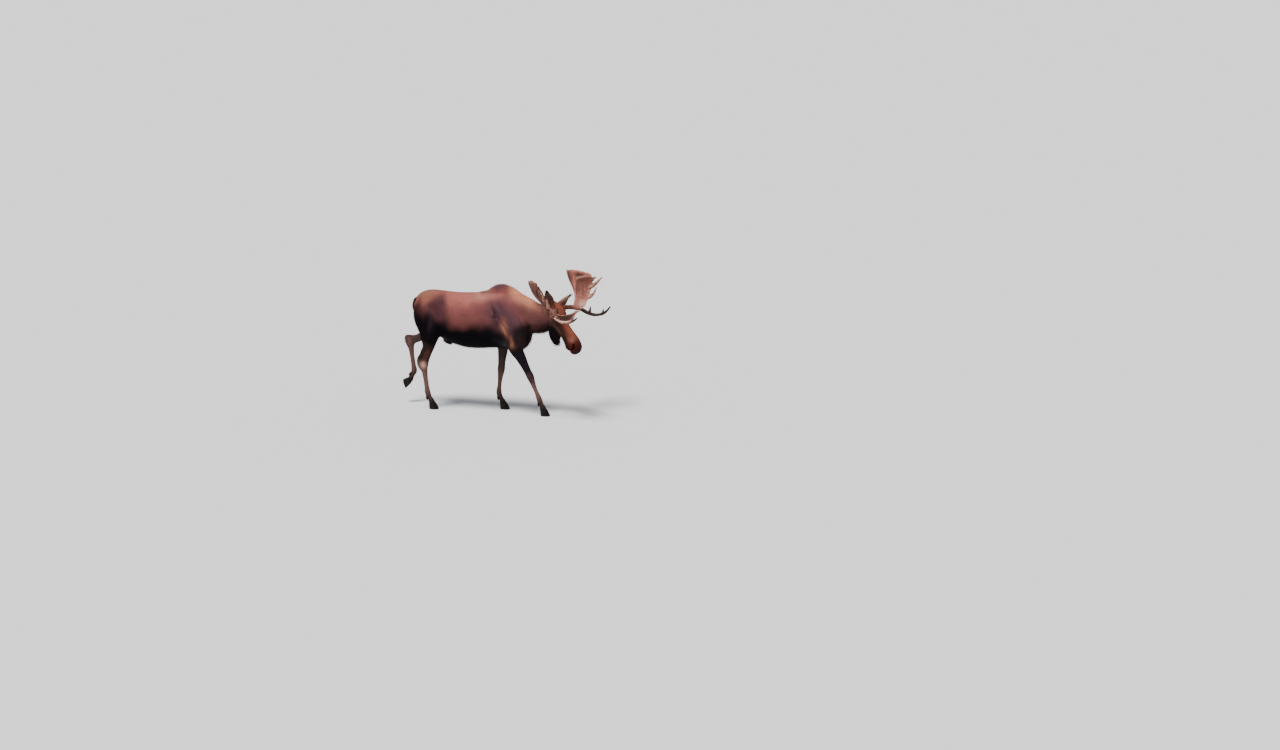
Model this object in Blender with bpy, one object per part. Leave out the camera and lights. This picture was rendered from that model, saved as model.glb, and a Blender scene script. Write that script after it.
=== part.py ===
"""A life-size still model of a bull moose in summer velvet, walking, for a museum floor.

Metres, +Z up, nose towards +X, the moose's left towards +Y. The body is shaped whole from oval-sectioned
forms laid along its bones, fused, relaxed and parted by thin cuts into the pieces that a person would name.
"""

import math

import bmesh
import bpy
import numpy as np
from mathutils import Matrix, Vector

# ---------------------------------------------------------------- driving dimensions
HUMP_HEIGHT = 1.873  # floor to the tips of the mane on the hump
TOUCH_GAP = 0.0004  # clearance between pieces that meet
VOXEL = 0.012  # grid on which the forms of the body fuse
ANTLER_VOXEL = 0.0075
BODY_TRIANGLES = 3500
ANTLER_TRIANGLES = 720  # each side

FOREARM = 0.420
FORE_CANNON = 0.355
SHANK = 0.495  # stifle to hock
HIND_CANNON = 0.430
PASTERN = 0.150
CORONET_HEIGHT = 0.095  # top of the hoof above its sole

HEAD_TURN = math.radians(-20)  # towards the moose's right
HEAD_PITCH = math.radians(52)  # nose below the horizon
POLL = Vector((0.803, -0.03, 1.656))

SIDES = {"left": 1, "right": -1}


# ---------------------------------------------------------------- helpers
def clear_scene():
    for obj in list(bpy.data.objects):
        bpy.data.objects.remove(obj)


def material(name, colour, roughness):
    finish = bpy.data.materials.new(name)
    finish.use_nodes = True
    shader = finish.node_tree.nodes["Principled BSDF"]
    shader.inputs["Base Color"].default_value = (*colour, 1)
    shader.inputs["Roughness"].default_value = roughness
    shader.inputs["Metallic"].default_value = 0.0
    return finish


def through(rows, count):
    """Smooth curve through the rows, spaced by the distance between their first three values."""
    rows = np.asarray(rows, float)
    steps = np.linalg.norm(np.diff(rows[:, :3], axis=0), axis=1)
    knots = np.concatenate([[0], np.cumsum(steps)])
    slopes = np.gradient(rows, knots, axis=0)
    at = np.linspace(0, knots[-1], count)
    left = np.clip(np.searchsorted(knots, at, side="right") - 1, 0, len(rows) - 2)
    width = (knots[left + 1] - knots[left])[:, None]
    t = ((at - knots[left])[:, None]) / width
    return (
        (2 * t**3 - 3 * t**2 + 1) * rows[left]
        + (t**3 - 2 * t**2 + t) * width * slopes[left]
        + (3 * t**2 - 2 * t**3) * rows[left + 1]
        + (t**3 - t**2) * width * slopes[left + 1]
    )


def loft(rows, front, along=None, rings=None, sides=28):
    """Closed form with oval sections along a path.

    Each row is x, y, z, the reach towards front, the reach away from it, the half width, and optionally how
    far the front and back of the oval narrow (1 is an ellipse). along fixes the direction the sections face.
    """
    rows = [tuple(row) + (1.0, 1.0)[len(row) - 6 :] if len(row) < 8 else tuple(row) for row in rows]
    length = sum(math.dist(a[:3], b[:3]) for a, b in zip(rows, rows[1:]))
    rings = rings or max(6, round(length / 0.028))
    path = through(rows, rings)
    centres = path[:, :3]
    reach_front, reach_back, half, narrow_front, narrow_back = np.maximum(path[:, 3:], 0.002).T
    heading = np.gradient(centres, axis=0) if along is None else np.tile(np.asarray(along, float), (rings, 1))
    heading /= np.linalg.norm(heading, axis=1, keepdims=True)
    ahead = np.asarray(front, float) - heading * (heading @ np.asarray(front, float))[:, None]
    ahead /= np.linalg.norm(ahead, axis=1, keepdims=True)
    across = np.cross(heading, ahead)
    angle = np.linspace(0, 2 * math.pi, sides, endpoint=False)
    cosine, sine = np.cos(angle), np.sin(angle)
    facing = sine > 0
    power = np.where(facing, narrow_front[:, None], narrow_back[:, None])
    width = half[:, None] * np.sign(cosine) * np.abs(cosine) ** power
    rise = np.where(facing, reach_front[:, None], reach_back[:, None]) * sine
    points = centres[:, None] + across[:, None] * width[..., None] + ahead[:, None] * rise[..., None]
    points = np.concatenate([points.reshape(-1, 3), centres[[0, -1]]])
    ring, step = np.meshgrid(np.arange(rings - 1), np.arange(sides), indexing="ij")
    after = (step + 1) % sides
    quads = np.stack(
        [ring * sides + step, ring * sides + after, (ring + 1) * sides + after, (ring + 1) * sides + step], -1
    ).reshape(-1, 4)
    around = np.arange(sides)
    beyond = (around + 1) % sides
    last = (rings - 1) * sides
    first_cap = np.stack([beyond, around, np.full(sides, rings * sides)], -1)
    last_cap = np.stack([last + around, last + beyond, np.full(sides, rings * sides + 1)], -1)
    return points, quads.tolist() + first_cap.tolist() + last_cap.tolist()


def joined(forms):
    """Several (points, faces) as one."""
    points, faces, start = [], [], 0
    for form_points, form_faces in forms:
        points.append(form_points)
        faces += [[start + corner for corner in face] for face in form_faces]
        start += len(form_points)
    return np.concatenate(points), faces


def mesh_object(name, points, faces):
    mesh = bpy.data.meshes.new(name)
    mesh.from_pydata(np.asarray(points).tolist(), [], faces)
    shape = bmesh.new()
    shape.from_mesh(mesh)
    bmesh.ops.recalc_face_normals(shape, faces=shape.faces)
    shape.to_mesh(mesh)
    shape.free()
    obj = bpy.data.objects.new(name, mesh)
    bpy.context.scene.collection.objects.link(obj)
    return obj


def bake_modifiers(obj):
    """Replaces the object's mesh by what its modifiers make of it."""
    bpy.context.view_layer.update()
    graph = bpy.context.evaluated_depsgraph_get()
    made = bpy.data.meshes.new_from_object(obj.evaluated_get(graph))
    obj.modifiers.clear()
    old, obj.data = obj.data, made
    bpy.data.meshes.remove(old)


def fuse(obj, voxel):
    remesh = obj.modifiers.new("fuse", "REMESH")
    remesh.mode = "VOXEL"
    remesh.voxel_size = voxel
    bake_modifiers(obj)


def thin_out(obj, triangles):
    triangulate = obj.modifiers.new("triangles", "TRIANGULATE")
    triangulate.min_vertices = 4
    bake_modifiers(obj)
    decimate = obj.modifiers.new("thin out", "DECIMATE")
    decimate.ratio = min(1, triangles / len(obj.data.polygons))
    bake_modifiers(obj)


def points_of(obj):
    points = np.empty(len(obj.data.vertices) * 3)
    obj.data.vertices.foreach_get("co", points)
    return points.reshape(-1, 3)


def set_points(obj, points):
    obj.data.vertices.foreach_set("co", points.ravel())
    obj.data.update()


def normals_of(obj):
    normals = np.empty(len(obj.data.vertices) * 3)
    obj.data.vertex_normals.foreach_get("vector", normals)
    return normals.reshape(-1, 3)


def relax(obj, strength, rounds):
    """Moves each vertex towards the mean of its neighbours; strength is a share for each vertex."""
    edges = np.empty(len(obj.data.edges) * 2, int)
    obj.data.edges.foreach_get("vertices", edges)
    edges = edges.reshape(-1, 2)
    points = points_of(obj)
    count = np.bincount(edges.ravel(), minlength=len(points))[:, None]
    for _ in range(rounds):
        total = np.stack(
            [
                np.bincount(edges[:, 0], points[edges[:, 1], axis], len(points))
                + np.bincount(edges[:, 1], points[edges[:, 0], axis], len(points))
                for axis in range(3)
            ],
            -1,
        )
        points += strength[:, None] * (total / count - points)
    set_points(obj, points)


def subtract(obj, cutters, swell=0.0):
    """Cuts the cutters out of obj; swell grows each cutter first, which leaves that clearance."""
    for cutter in cutters:
        tool = cutter.copy()
        tool.data = cutter.data.copy()
        bpy.context.scene.collection.objects.link(tool)
        if swell:
            bpy.context.view_layer.update()
            set_points(tool, points_of(tool) + normals_of(tool) * swell)
        cut = obj.modifiers.new("cut", "BOOLEAN")
        cut.operation = "DIFFERENCE"
        cut.solver = "EXACT"
        cut.object = tool
        bake_modifiers(obj)
        bpy.data.objects.remove(tool)


def cutting_sheet(centre, normal, along, length, width):
    """Thin slab that parts a solid, across normal, length long in the direction along."""
    normal = Vector(normal).normalized()
    along = (Vector(along) - normal * Vector(along).dot(normal)).normalized()
    across = normal.cross(along)
    frame = Matrix((along, across, normal)).transposed().to_4x4()
    bpy.ops.mesh.primitive_cube_add(size=1)
    sheet = bpy.context.object
    sheet.data.transform(
        Matrix.Translation(centre) @ frame @ Matrix.Diagonal((length, width, TOUCH_GAP, 1))
    )
    return sheet


def islands(obj):
    """The object's separate shells, each as (points, faces)."""
    shape = bmesh.new()
    shape.from_mesh(obj.data)
    waiting, found = set(shape.verts), []
    while waiting:
        edge_of_search = [waiting.pop()]
        shell = set(edge_of_search)
        while edge_of_search:
            for edge in edge_of_search.pop().link_edges:
                for vert in edge.verts:
                    if vert not in shell:
                        shell.add(vert)
                        edge_of_search.append(vert)
        waiting -= shell
        order = {vert: index for index, vert in enumerate(shell)}
        faces = {face for vert in shell for face in vert.link_faces}
        found.append(
            (np.array([vert.co for vert in order]), [[order[vert] for vert in face.verts] for face in faces])
        )
    shape.free()
    return found


def part_at(obj, sheets, anchors, finishes):
    """Parts obj with the sheets and names each shell after the anchor nearest to its middle."""
    subtract(obj, sheets)
    for sheet in sheets:
        bpy.data.objects.remove(sheet)
    shells = sorted(islands(obj), key=lambda shell: -len(shell[0]))
    names = list(anchors)
    pieces = {}
    for points, faces in shells[: len(names)]:
        middle = (points.min(0) + points.max(0)) / 2
        name = min(names, key=lambda key: np.linalg.norm(middle - np.array(anchors[key])))
        names.remove(name)
        pieces[name] = mesh_object(name, points, faces)
        pieces[name].data.materials.append(finishes[name])
    bpy.data.objects.remove(obj)
    return pieces


# ---------------------------------------------------------------- head frame
HEADING = Vector((math.cos(HEAD_TURN), math.sin(HEAD_TURN), 0))
NOSE_WAY = HEADING * math.cos(HEAD_PITCH) - Vector((0, 0, math.sin(HEAD_PITCH)))
BROW_WAY = HEADING * math.sin(HEAD_PITCH) + Vector((0, 0, math.cos(HEAD_PITCH)))
LEFT_WAY = Vector((-math.sin(HEAD_TURN), math.cos(HEAD_TURN), 0))


def in_head(along, above, left):
    """Place from the poll: along the face, above its bridge, and to the left."""
    return POLL + NOSE_WAY * along + BROW_WAY * above + LEFT_WAY * left


# ---------------------------------------------------------------- trunk and neck
def trunk():
    """Barrel from the buttocks to the front of the chest, and the muscles of the neck."""
    rows = (
        # x, back, belly, half width, height of the widest part, narrowing above, narrowing below
        (-1.322, 1.49, 1.33, 0.045, 1.42, 1.0, 1.0),
        (-1.285, 1.61, 1.22, 0.120, 1.42, 1.0, 1.0),
        (-1.205, 1.688, 1.15, 0.190, 1.42, 1.0, 1.0),
        (-1.09, 1.726, 1.10, 0.225, 1.43, 1.05, 1.0),
        (-0.93, 1.728, 1.035, 0.243, 1.40, 1.05, 0.9),
        (-0.74, 1.717, 0.955, 0.260, 1.33, 1.05, 0.9),
        (-0.50, 1.722, 0.905, 0.280, 1.27, 1.05, 0.9),
        (-0.28, 1.755, 0.912, 0.277, 1.27, 1.15, 0.95),
        (-0.12, 1.815, 0.925, 0.257, 1.27, 1.45, 1.05),
        (0.02, HUMP_HEIGHT - 0.020, 0.925, 0.240, 1.28, 1.55, 1.15),
        (0.15, 1.815, 0.930, 0.223, 1.30, 1.4, 1.2),
        (0.28, 1.745, 0.975, 0.200, 1.33, 1.2, 1.2),
        (0.375, 1.68, 1.08, 0.145, 1.35, 1.1, 1.1),
        (0.43, 1.60, 1.20, 0.070, 1.37, 1.0, 1.0),
    )
    barrel = loft(
        [(x, 0, wide, back - wide, wide - belly, half, roof, keel)
         for x, back, belly, half, wide, roof, keel in rows],
        front=(0, 0, 1), along=(1, 0, 0), sides=40,
    )
    neck = loft(
        (
            (0.06, 0.0, 1.42, 0.36, 0.30, 0.17, 1.2, 1.0),
            (0.24, 0.0, 1.42, 0.335, 0.30, 0.175, 1.2, 1.0),
            (0.40, -0.002, 1.41, 0.285, 0.258, 0.165, 1.1, 1.0),
            (0.54, -0.01, 1.405, 0.225, 0.225, 0.145, 1.05, 1.0),
            (0.66, -0.022, 1.415, 0.185, 0.190, 0.125, 1.0, 1.0),
            (0.76, -0.04, 1.44, 0.155, 0.160, 0.105),
        ),
        front=(0, 0, 1), sides=32,
    )
    mane = loft(
        (
            (-0.22, 0, 1.72, 0.045, 0.08, 0.04, 1.3),
            (-0.12, 0, 1.76, 0.080, 0.08, 0.055, 1.3),
            (0.00, 0, 1.79, 0.083, 0.08, 0.060, 1.3),
            (0.12, 0, 1.77, 0.085, 0.08, 0.060, 1.3),
            (0.24, 0, 1.70, 0.085, 0.08, 0.055, 1.3),
            (0.42, 0, 1.62, 0.075, 0.08, 0.045, 1.3),
            (0.60, -0.02, 1.545, 0.060, 0.06, 0.035, 1.3),
        ),
        front=(0, 0, 1),
    )
    brisket = loft(
        (
            (-0.08, 0, 1.02, 0.08, 0.09, 0.09),
            (0.10, 0, 1.02, 0.11, 0.105, 0.12),
            (0.24, 0, 1.045, 0.13, 0.13, 0.125),
            (0.325, 0, 1.12, 0.12, 0.125, 0.11),
            (0.365, 0, 1.23, 0.09, 0.085, 0.08),
        ),
        front=(0, 0, 1),
    )
    sheath = loft(
        ((-0.90, 0, 1.00, 0.03, 0.035, 0.04), (-0.82, 0, 0.955, 0.03, 0.035, 0.035),
         (-0.75, 0, 0.935, 0.02, 0.03, 0.025)),
        front=(0, 0, 1),
    )
    hips = [
        loft(
            ((-1.16, side * 0.135, 1.51, 0.105, 0.12, 0.07), (-0.98, side * 0.165, 1.53, 0.105, 0.16, 0.075),
             (-0.82, side * 0.175, 1.50, 0.06, 0.14, 0.06)),
            front=(0, 0, 1),
        )
        for side in SIDES.values()
    ]
    return [barrel, neck, mane, brisket, sheath, *hips]


# ---------------------------------------------------------------- legs
def down_from(start, steps, width):
    """Joints reached from start by steps of (length, angle forward of straight down, y of the joint)."""
    joints = [Vector(start)]
    for length, angle, y in steps:
        swing = math.radians(angle)
        last = joints[-1]
        joints.append(Vector((last.x + length * math.sin(swing), y * width, last.z - length * math.cos(swing))))
    return joints


# Each leg: where its top joint is, and each bone's length, swing forward of straight down, and spread at its end.
LEGS = {
    "foreleg_right": {
        "side": -1, "top": (0.265, 0.955),
        "bones": ((FOREARM, 26.5, 0.155), (FORE_CANNON, 22.5, 0.135), (PASTERN, 21.0, 0.130)),
        "shoulder": (0.345, 1.215), "blade": (0.03, 1.67), "spread": (0.170, 0.182),
    },
    "foreleg_left": {
        "side": 1, "top": (-0.035, 0.990),
        "bones": ((FOREARM, -5.0, 0.148), (FORE_CANNON, -4.5, 0.134), (PASTERN, 24.0, 0.134)),
        "shoulder": (0.235, 1.205), "blade": (-0.03, 1.66), "spread": (0.165, 0.182),
    },
    "hindleg_right": {
        "side": -1, "top": (-0.955, 1.120),
        "bones": ((SHANK, -21.0, 0.165), (HIND_CANNON, 6.5, 0.140), (PASTERN, 25.0, 0.137)),
        "spread": (0.192, 0.155), "cord": 0.105, "ham": -0.080,
    },
    "hindleg_left": {
        "side": 1, "top": (-0.985, 1.095),
        "bones": ((SHANK, -66.0, 0.175), (HIND_CANNON, 8.7, 0.155), (PASTERN, -27.0, 0.150)),
        "spread": (0.192, 0.155), "cord": 0.066, "ham": -0.040,
    },
}


def leg_joints(name):
    leg = LEGS[name]
    x, z = leg["top"]
    top = (x, leg["side"] * leg["spread"][0], z)
    joints = down_from(top, leg["bones"], leg["side"])
    if name != "hindleg_left":
        lift = CORONET_HEIGHT - joints[-1].z  # the top joint gives the little that brings the hoof to the floor
        for index, joint in enumerate(joints[1:], 1):
            joint.z += lift * (0.4 + 0.2 * index)
    return joints


def along_bones(joints, profile):
    """Rows for loft, from rows of (bone, share of its length, shift forward, front, back, half width)."""
    rows = []
    for bone, share, shift, front, back, half in profile:
        place = joints[bone].lerp(joints[bone + 1], share)
        rows.append((place.x + shift, place.y, place.z, front, back, half))
    return rows


FORE_PROFILE = (
    # bone, share of its length, shift forward, reach to the front, to the back, half width
    (0, -0.20, -0.010, 0.110, 0.130, 0.085),
    (0, 0.05, -0.005, 0.095, 0.112, 0.075),
    (0, 0.30, 0.0, 0.082, 0.086, 0.062),
    (0, 0.62, 0.0, 0.066, 0.066, 0.050),
    (0, 0.86, 0.0, 0.060, 0.056, 0.048),
    (0, 1.00, 0.0, 0.061, 0.054, 0.051),
    (1, 0.12, 0.0, 0.054, 0.050, 0.046),
    (1, 0.35, 0.0, 0.041, 0.044, 0.034),
    (1, 0.70, 0.0, 0.032, 0.039, 0.032),
    (1, 0.93, 0.0, 0.038, 0.046, 0.041),
    (2, 0.08, 0.0, 0.038, 0.047, 0.043),
    (2, 0.50, 0.0, 0.034, 0.038, 0.038),
    (2, 0.92, 0.0, 0.046, 0.044, 0.050),
    (2, 1.08, 0.0, 0.048, 0.046, 0.054),
)

HIND_PROFILE = (
    (0, -0.10, -0.010, 0.095, 0.160, 0.085),
    (0, 0.15, 0.0, 0.080, 0.150, 0.080),
    (0, 0.42, 0.0, 0.070, 0.115, 0.064),
    (0, 0.72, 0.0, 0.060, 0.080, 0.050),
    (0, 0.95, 0.0, 0.066, 0.070, 0.046),
    (1, 0.06, 0.0, 0.063, 0.062, 0.047),
    (1, 0.20, 0.0, 0.047, 0.056, 0.041),
    (1, 0.38, 0.0, 0.037, 0.049, 0.035),
    (1, 0.62, 0.0, 0.035, 0.045, 0.033),
    (1, 0.85, 0.0, 0.037, 0.045, 0.035),
    (1, 0.97, 0.0, 0.042, 0.048, 0.042),
    (2, 0.10, 0.0, 0.040, 0.048, 0.043),
    (2, 0.50, 0.0, 0.035, 0.039, 0.038),
    (2, 0.92, 0.0, 0.046, 0.044, 0.050),
    (2, 1.08, 0.0, 0.048, 0.046, 0.054),
)


def foreleg(name):
    leg = LEGS[name]
    side = leg["side"]
    joints = leg_joints(name)
    elbow = joints[0]
    shoulder = Vector((leg["shoulder"][0], side * leg["spread"][1], leg["shoulder"][1]))
    blade = Vector((leg["blade"][0], side * 0.085, leg["blade"][1]))
    limb = loft(along_bones(joints, FORE_PROFILE), front=(1, 0, 0))
    scapula = loft(
        (
            (*blade, 0.11, 0.12, 0.040),
            (*blade.lerp(shoulder, 0.35), 0.13, 0.15, 0.066),
            (*blade.lerp(shoulder, 0.72), 0.12, 0.15, 0.078),
            (*shoulder, 0.085, 0.11, 0.080),
        ),
        front=(1, 0, 0),
    )
    arm = loft(
        (
            (*(shoulder + Vector((-0.02, 0, 0.05))), 0.075, 0.12, 0.075),
            (*shoulder.lerp(elbow, 0.45), 0.095, 0.135, 0.088),
            (*shoulder.lerp(elbow, 0.85), 0.09, 0.125, 0.085),
            (*(elbow + Vector((0, 0, -0.06))), 0.08, 0.10, 0.072),
        ),
        front=(1, 0, 0.2),
    )
    triceps = loft(
        (
            (*blade.lerp(shoulder, 0.55), 0.05, 0.14, 0.055),
            (*(blade.lerp(elbow, 0.70) + Vector((-0.06, side * 0.05, 0))), 0.10, 0.10, 0.060),
            (*(elbow + Vector((-0.06, side * 0.01, 0.06))), 0.06, 0.065, 0.055),
            (*(elbow + Vector((-0.065, 0, -0.01))), 0.035, 0.035, 0.035),
        ),
        front=(1, 0, 0),
    )
    return [limb, scapula, arm, triceps]


def hindleg(name):
    leg = LEGS[name]
    side = leg["side"]
    joints = leg_joints(name)
    stifle, hock = joints[0], joints[1]
    hip = Vector((-1.05, side * leg["spread"][1], 1.43))
    limb = loft(along_bones(joints, HIND_PROFILE), front=(1, 0, 0.25))
    haunch = loft(
        (
            (*(hip + Vector((0.05, -side * 0.05, 0.16))), 0.13, 0.18, 0.07),
            (*hip, 0.17, 0.21, 0.098),
            (*hip.lerp(stifle, 0.5), 0.165, 0.195, 0.105),
            (*stifle.lerp(hip, 0.15), 0.10, 0.165, 0.095),
            (*(stifle + Vector((-0.02, 0, -0.07))), 0.075, 0.13, 0.080),
        ),
        front=(1, 0, 0),
    )
    calf = stifle.lerp(hock, 0.40)
    ham = loft(
        (
            (-1.24, side * 0.10, 1.48, 0.08, 0.075, 0.065),
            (-1.215, side * 0.15, 1.32, 0.10, 0.070, 0.085),
            (*(Vector((-1.20, side * 0.17, 1.32)).lerp(calf, 0.55) + Vector((-0.02, 0, 0))), 0.09, 0.065, 0.080),
            (*(calf + Vector((leg["ham"], 0, 0.03))), 0.06, 0.060, 0.052),
        ),
        front=(1, 0, 0.2),
    )
    shank_way = (hock - stifle).normalized()
    cannon_way = (joints[2] - hock).normalized()
    behind = (shank_way - cannon_way).normalized()
    heel = hock + behind * 0.085 - cannon_way * 0.030
    heel_cord = loft(
        (
            (*(calf + behind * leg["cord"] * 0.75), 0.045, 0.045, 0.034),
            (*(stifle.lerp(hock, 0.72) + behind * leg["cord"] * 0.92), 0.032, 0.026, 0.023),
            (*(heel - cannon_way * 0.01), 0.028, 0.026, 0.025),
            (*(heel + cannon_way * 0.045), 0.045, 0.028, 0.028),
            (*(hock + cannon_way * 0.13), 0.04, 0.035, 0.026),
        ),
        front=(1, 0, 0.2),
    )
    return [limb, haunch, ham, heel_cord]


# ---------------------------------------------------------------- head
def head_rows(rows):
    """Rows for loft from (along, above, below, half width, narrowing above, below), on a middle line."""
    made = []
    for along, above, below, half, *narrow in rows:
        middle = (above + below) / 2
        made.append((*in_head(along, middle, 0), above - middle, middle - below, half, *narrow))
    return made


def head():
    skull = loft(
        head_rows(
            (
                (-0.075, -0.045, -0.165, 0.060, 1.0, 1.0),
                (0.00, 0.004, -0.200, 0.092, 0.9, 1.0),
                (0.08, 0.020, -0.212, 0.106, 0.85, 1.0),
                (0.17, 0.018, -0.205, 0.114, 0.85, 1.0),
                (0.25, 0.005, -0.190, 0.108, 0.85, 1.1),
                (0.35, -0.010, -0.172, 0.083, 0.9, 1.1),
                (0.45, -0.008, -0.165, 0.073, 0.9, 1.0),
                (0.55, 0.006, -0.175, 0.077, 0.9, 0.95),
                (0.64, 0.012, -0.195, 0.085, 0.9, 0.9),
                (0.72, -0.004, -0.212, 0.088, 0.9, 0.9),
                (0.765, -0.035, -0.205, 0.078, 0.9, 0.9),
                (0.795, -0.085, -0.165, 0.048, 1.0, 1.0),
            )
        ),
        front=BROW_WAY, along=NOSE_WAY, sides=32,
    )
    jaw = loft(
        head_rows(
            (
                (0.06, -0.13, -0.235, 0.070),
                (0.14, -0.13, -0.268, 0.082),
                (0.23, -0.14, -0.272, 0.074),
                (0.36, -0.14, -0.248, 0.052),
                (0.48, -0.15, -0.232, 0.044),
                (0.58, -0.16, -0.238, 0.046),
                (0.66, -0.165, -0.246, 0.046),
                (0.695, -0.18, -0.232, 0.032),
            )
        ),
        front=BROW_WAY, along=NOSE_WAY,
    )
    made = [skull, jaw]
    for side in SIDES.values():
        made.append(
            loft(  # brow over the eye, running back to the antler's root
                (
                    (*in_head(0.105, -0.020, side * 0.070), 0.045, 0.045, 0.045),
                    (*in_head(0.19, -0.040, side * 0.094), 0.036, 0.034, 0.026),
                    (*in_head(0.27, -0.060, side * 0.090), 0.022, 0.024, 0.018),
                ),
                front=BROW_WAY,
            )
        )
        made.append(
            loft(  # pedicle under the antler
                (
                    (*in_head(0.10, -0.035, side * 0.05), 0.05, 0.05, 0.05),
                    (*in_head(0.105, -0.012, side * 0.115), 0.040, 0.040, 0.040),
                ),
                front=BROW_WAY,
            )
        )
    return made


def bell():
    """The flap of skin and hair under the throat."""
    return loft(
        (
            (0.755, -0.045, 1.305, 0.075, 0.080, 0.036),
            (0.768, -0.053, 1.235, 0.085, 0.082, 0.038),
            (0.790, -0.062, 1.165, 0.092, 0.082, 0.034),
            (0.815, -0.070, 1.110, 0.080, 0.068, 0.027),
            (0.835, -0.075, 1.075, 0.055, 0.050, 0.018),
            (0.845, -0.077, 1.052, 0.022, 0.022, 0.008),
        ),
        front=(1, -0.2, 0), sides=14, rings=8,
    )


EAR_WAYS = {"right": (-0.78, 0.50, 0.38), "left": (-0.12, 0.46, 0.86)}  # along, above, outwards
EAR_LENGTH = 0.255


def ear(side_name):
    """A leaf-shaped cup, open to the front and outwards."""
    side = SIDES[side_name]
    along, above, out = EAR_WAYS[side_name]
    root = in_head(0.025, -0.060, side * 0.088)
    way = (NOSE_WAY * along + BROW_WAY * above + LEFT_WAY * side * out).normalized()
    mouth = (HEADING * 0.8 + LEFT_WAY * side * 0.65 - way * 0.1).normalized()
    mouth = (mouth - way * mouth.dot(way)).normalized()
    across = way.cross(mouth)
    shares = np.linspace(-0.10, 1.0, 8)
    turns = np.linspace(-1, 1, 7)
    half_width = 0.062 * np.clip(np.sin(np.pi * np.clip(0.16 + 0.84 * shares, 0, 1)) ** 0.75, 0.03, 1) + 0.004
    curl = np.radians(118) * (1 - 0.62 * np.clip(shares, 0, 1))
    centre = np.array(root) + np.outer(shares * EAR_LENGTH, way) + np.outer(0.02 * shares**2, -across * side)
    radius = half_width / np.sin(np.minimum(curl, math.pi / 2))
    angle = curl[:, None] * turns
    wall = 0.0055 * (1 - 0.45 * np.abs(turns)[None, :] ** 3) * (1.15 - 0.5 * np.clip(shares, 0, 1))[:, None]
    made = []
    for sign in (1, -1):
        reach = radius[:, None] + sign * wall
        made.append(
            centre[:, None]
            + np.array(across) * (reach * np.sin(angle))[..., None]
            + np.array(mouth) * (radius[:, None] * 0.62 - reach * np.cos(angle))[..., None]
        )
    count, width = len(shares), len(turns)
    points = np.concatenate([made[0].reshape(-1, 3), made[1].reshape(-1, 3)])
    inner = count * width

    def spot(sheet, i, j):
        return sheet * inner + i * width + j

    faces = []
    for i in range(count - 1):
        for j in range(width - 1):
            faces.append([spot(0, i, j), spot(0, i + 1, j), spot(0, i + 1, j + 1), spot(0, i, j + 1)])
            faces.append([spot(1, i, j + 1), spot(1, i + 1, j + 1), spot(1, i + 1, j), spot(1, i, j)])
        for j, flip in ((0, False), (width - 1, True)):
            rim = [spot(0, i, j), spot(1, i, j), spot(1, i + 1, j), spot(0, i + 1, j)]
            faces.append(rim[::-1] if flip else rim)
    for j in range(width - 1):
        for i, flip in ((0, True), (count - 1, False)):
            rim = [spot(0, i, j), spot(1, i, j), spot(1, i, j + 1), spot(0, i, j + 1)]
            faces.append(rim[::-1] if flip else rim)
    return points, faces


def tail():
    return loft(
        (
            (-1.262, 0, 1.590, 0.03, 0.03, 0.035),
            (-1.300, 0, 1.560, 0.026, 0.024, 0.036),
            (-1.322, 0, 1.500, 0.022, 0.020, 0.033),
            (-1.330, 0, 1.440, 0.016, 0.014, 0.024),
            (-1.332, 0, 1.395, 0.006, 0.006, 0.009),
        ),
        front=(-1, 0, 0.3), sides=12, rings=7,
    )


# ---------------------------------------------------------------- antlers
FORK = (0.215, 0.075, 0.350)  # in the head frame, where the palm and the brow branch part
PALM_REAR = {
    # back from the fork, above, outwards
    "left": ((0.05, -0.020, -0.13), (0.20, 0.030, 0.0), (0.38, 0.030, 0.065), (0.60, 0.045, 0.030)),
    "right": ((0.05, -0.020, -0.13), (0.20, 0.010, 0.0), (0.38, 0.010, 0.095), (0.60, -0.005, 0.075)),
}
PALM_FRONT = {
    "left": ((-0.01, 0.045, 0.045), (0.12, 0.12, 0.14), (0.27, 0.20, 0.235), (0.40, 0.240, 0.285)),
    "right": ((-0.01, 0.045, 0.045), (0.12, 0.12, 0.14), (0.28, 0.205, 0.235), (0.48, 0.245, 0.315)),
}
CURL = {"left": 0.055, "right": 0.035}  # how far the palm's far margin curls over
BROWS = {
    # back from the fork, above, outwards, thickness, width of the branch
    "left": (
        (0.02, -0.01, -0.03, 0.034, 0.032), (-0.13, 0.035, 0.015, 0.029, 0.034), (-0.225, 0.15, 0.02, 0.025, 0.033),
        (-0.265, 0.27, 0.04, 0.021, 0.026), (-0.235, 0.42, 0.06, 0.010, 0.010),
    ),
    "right": (
        (0.02, -0.01, -0.03, 0.034, 0.032), (-0.06, 0.05, 0.0, 0.029, 0.034), (-0.14, 0.095, 0.0, 0.025, 0.034),
        (-0.21, 0.185, 0.012, 0.023, 0.030), (-0.245, 0.29, 0.030, 0.019, 0.022), (-0.255, 0.40, 0.040, 0.010, 0.010),
    ),
}
BROW_CUP = ((0.03, 0.03, -0.05), (-0.05, 0.09, -0.075), (-0.10, 0.20, -0.11), (-0.135, 0.31, -0.115))
BROW_KEEL = ((-0.02, 0.02, 0.0), (-0.13, 0.10, 0.0), (-0.20, 0.19, 0.012), (-0.225, 0.27, 0.025))
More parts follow.
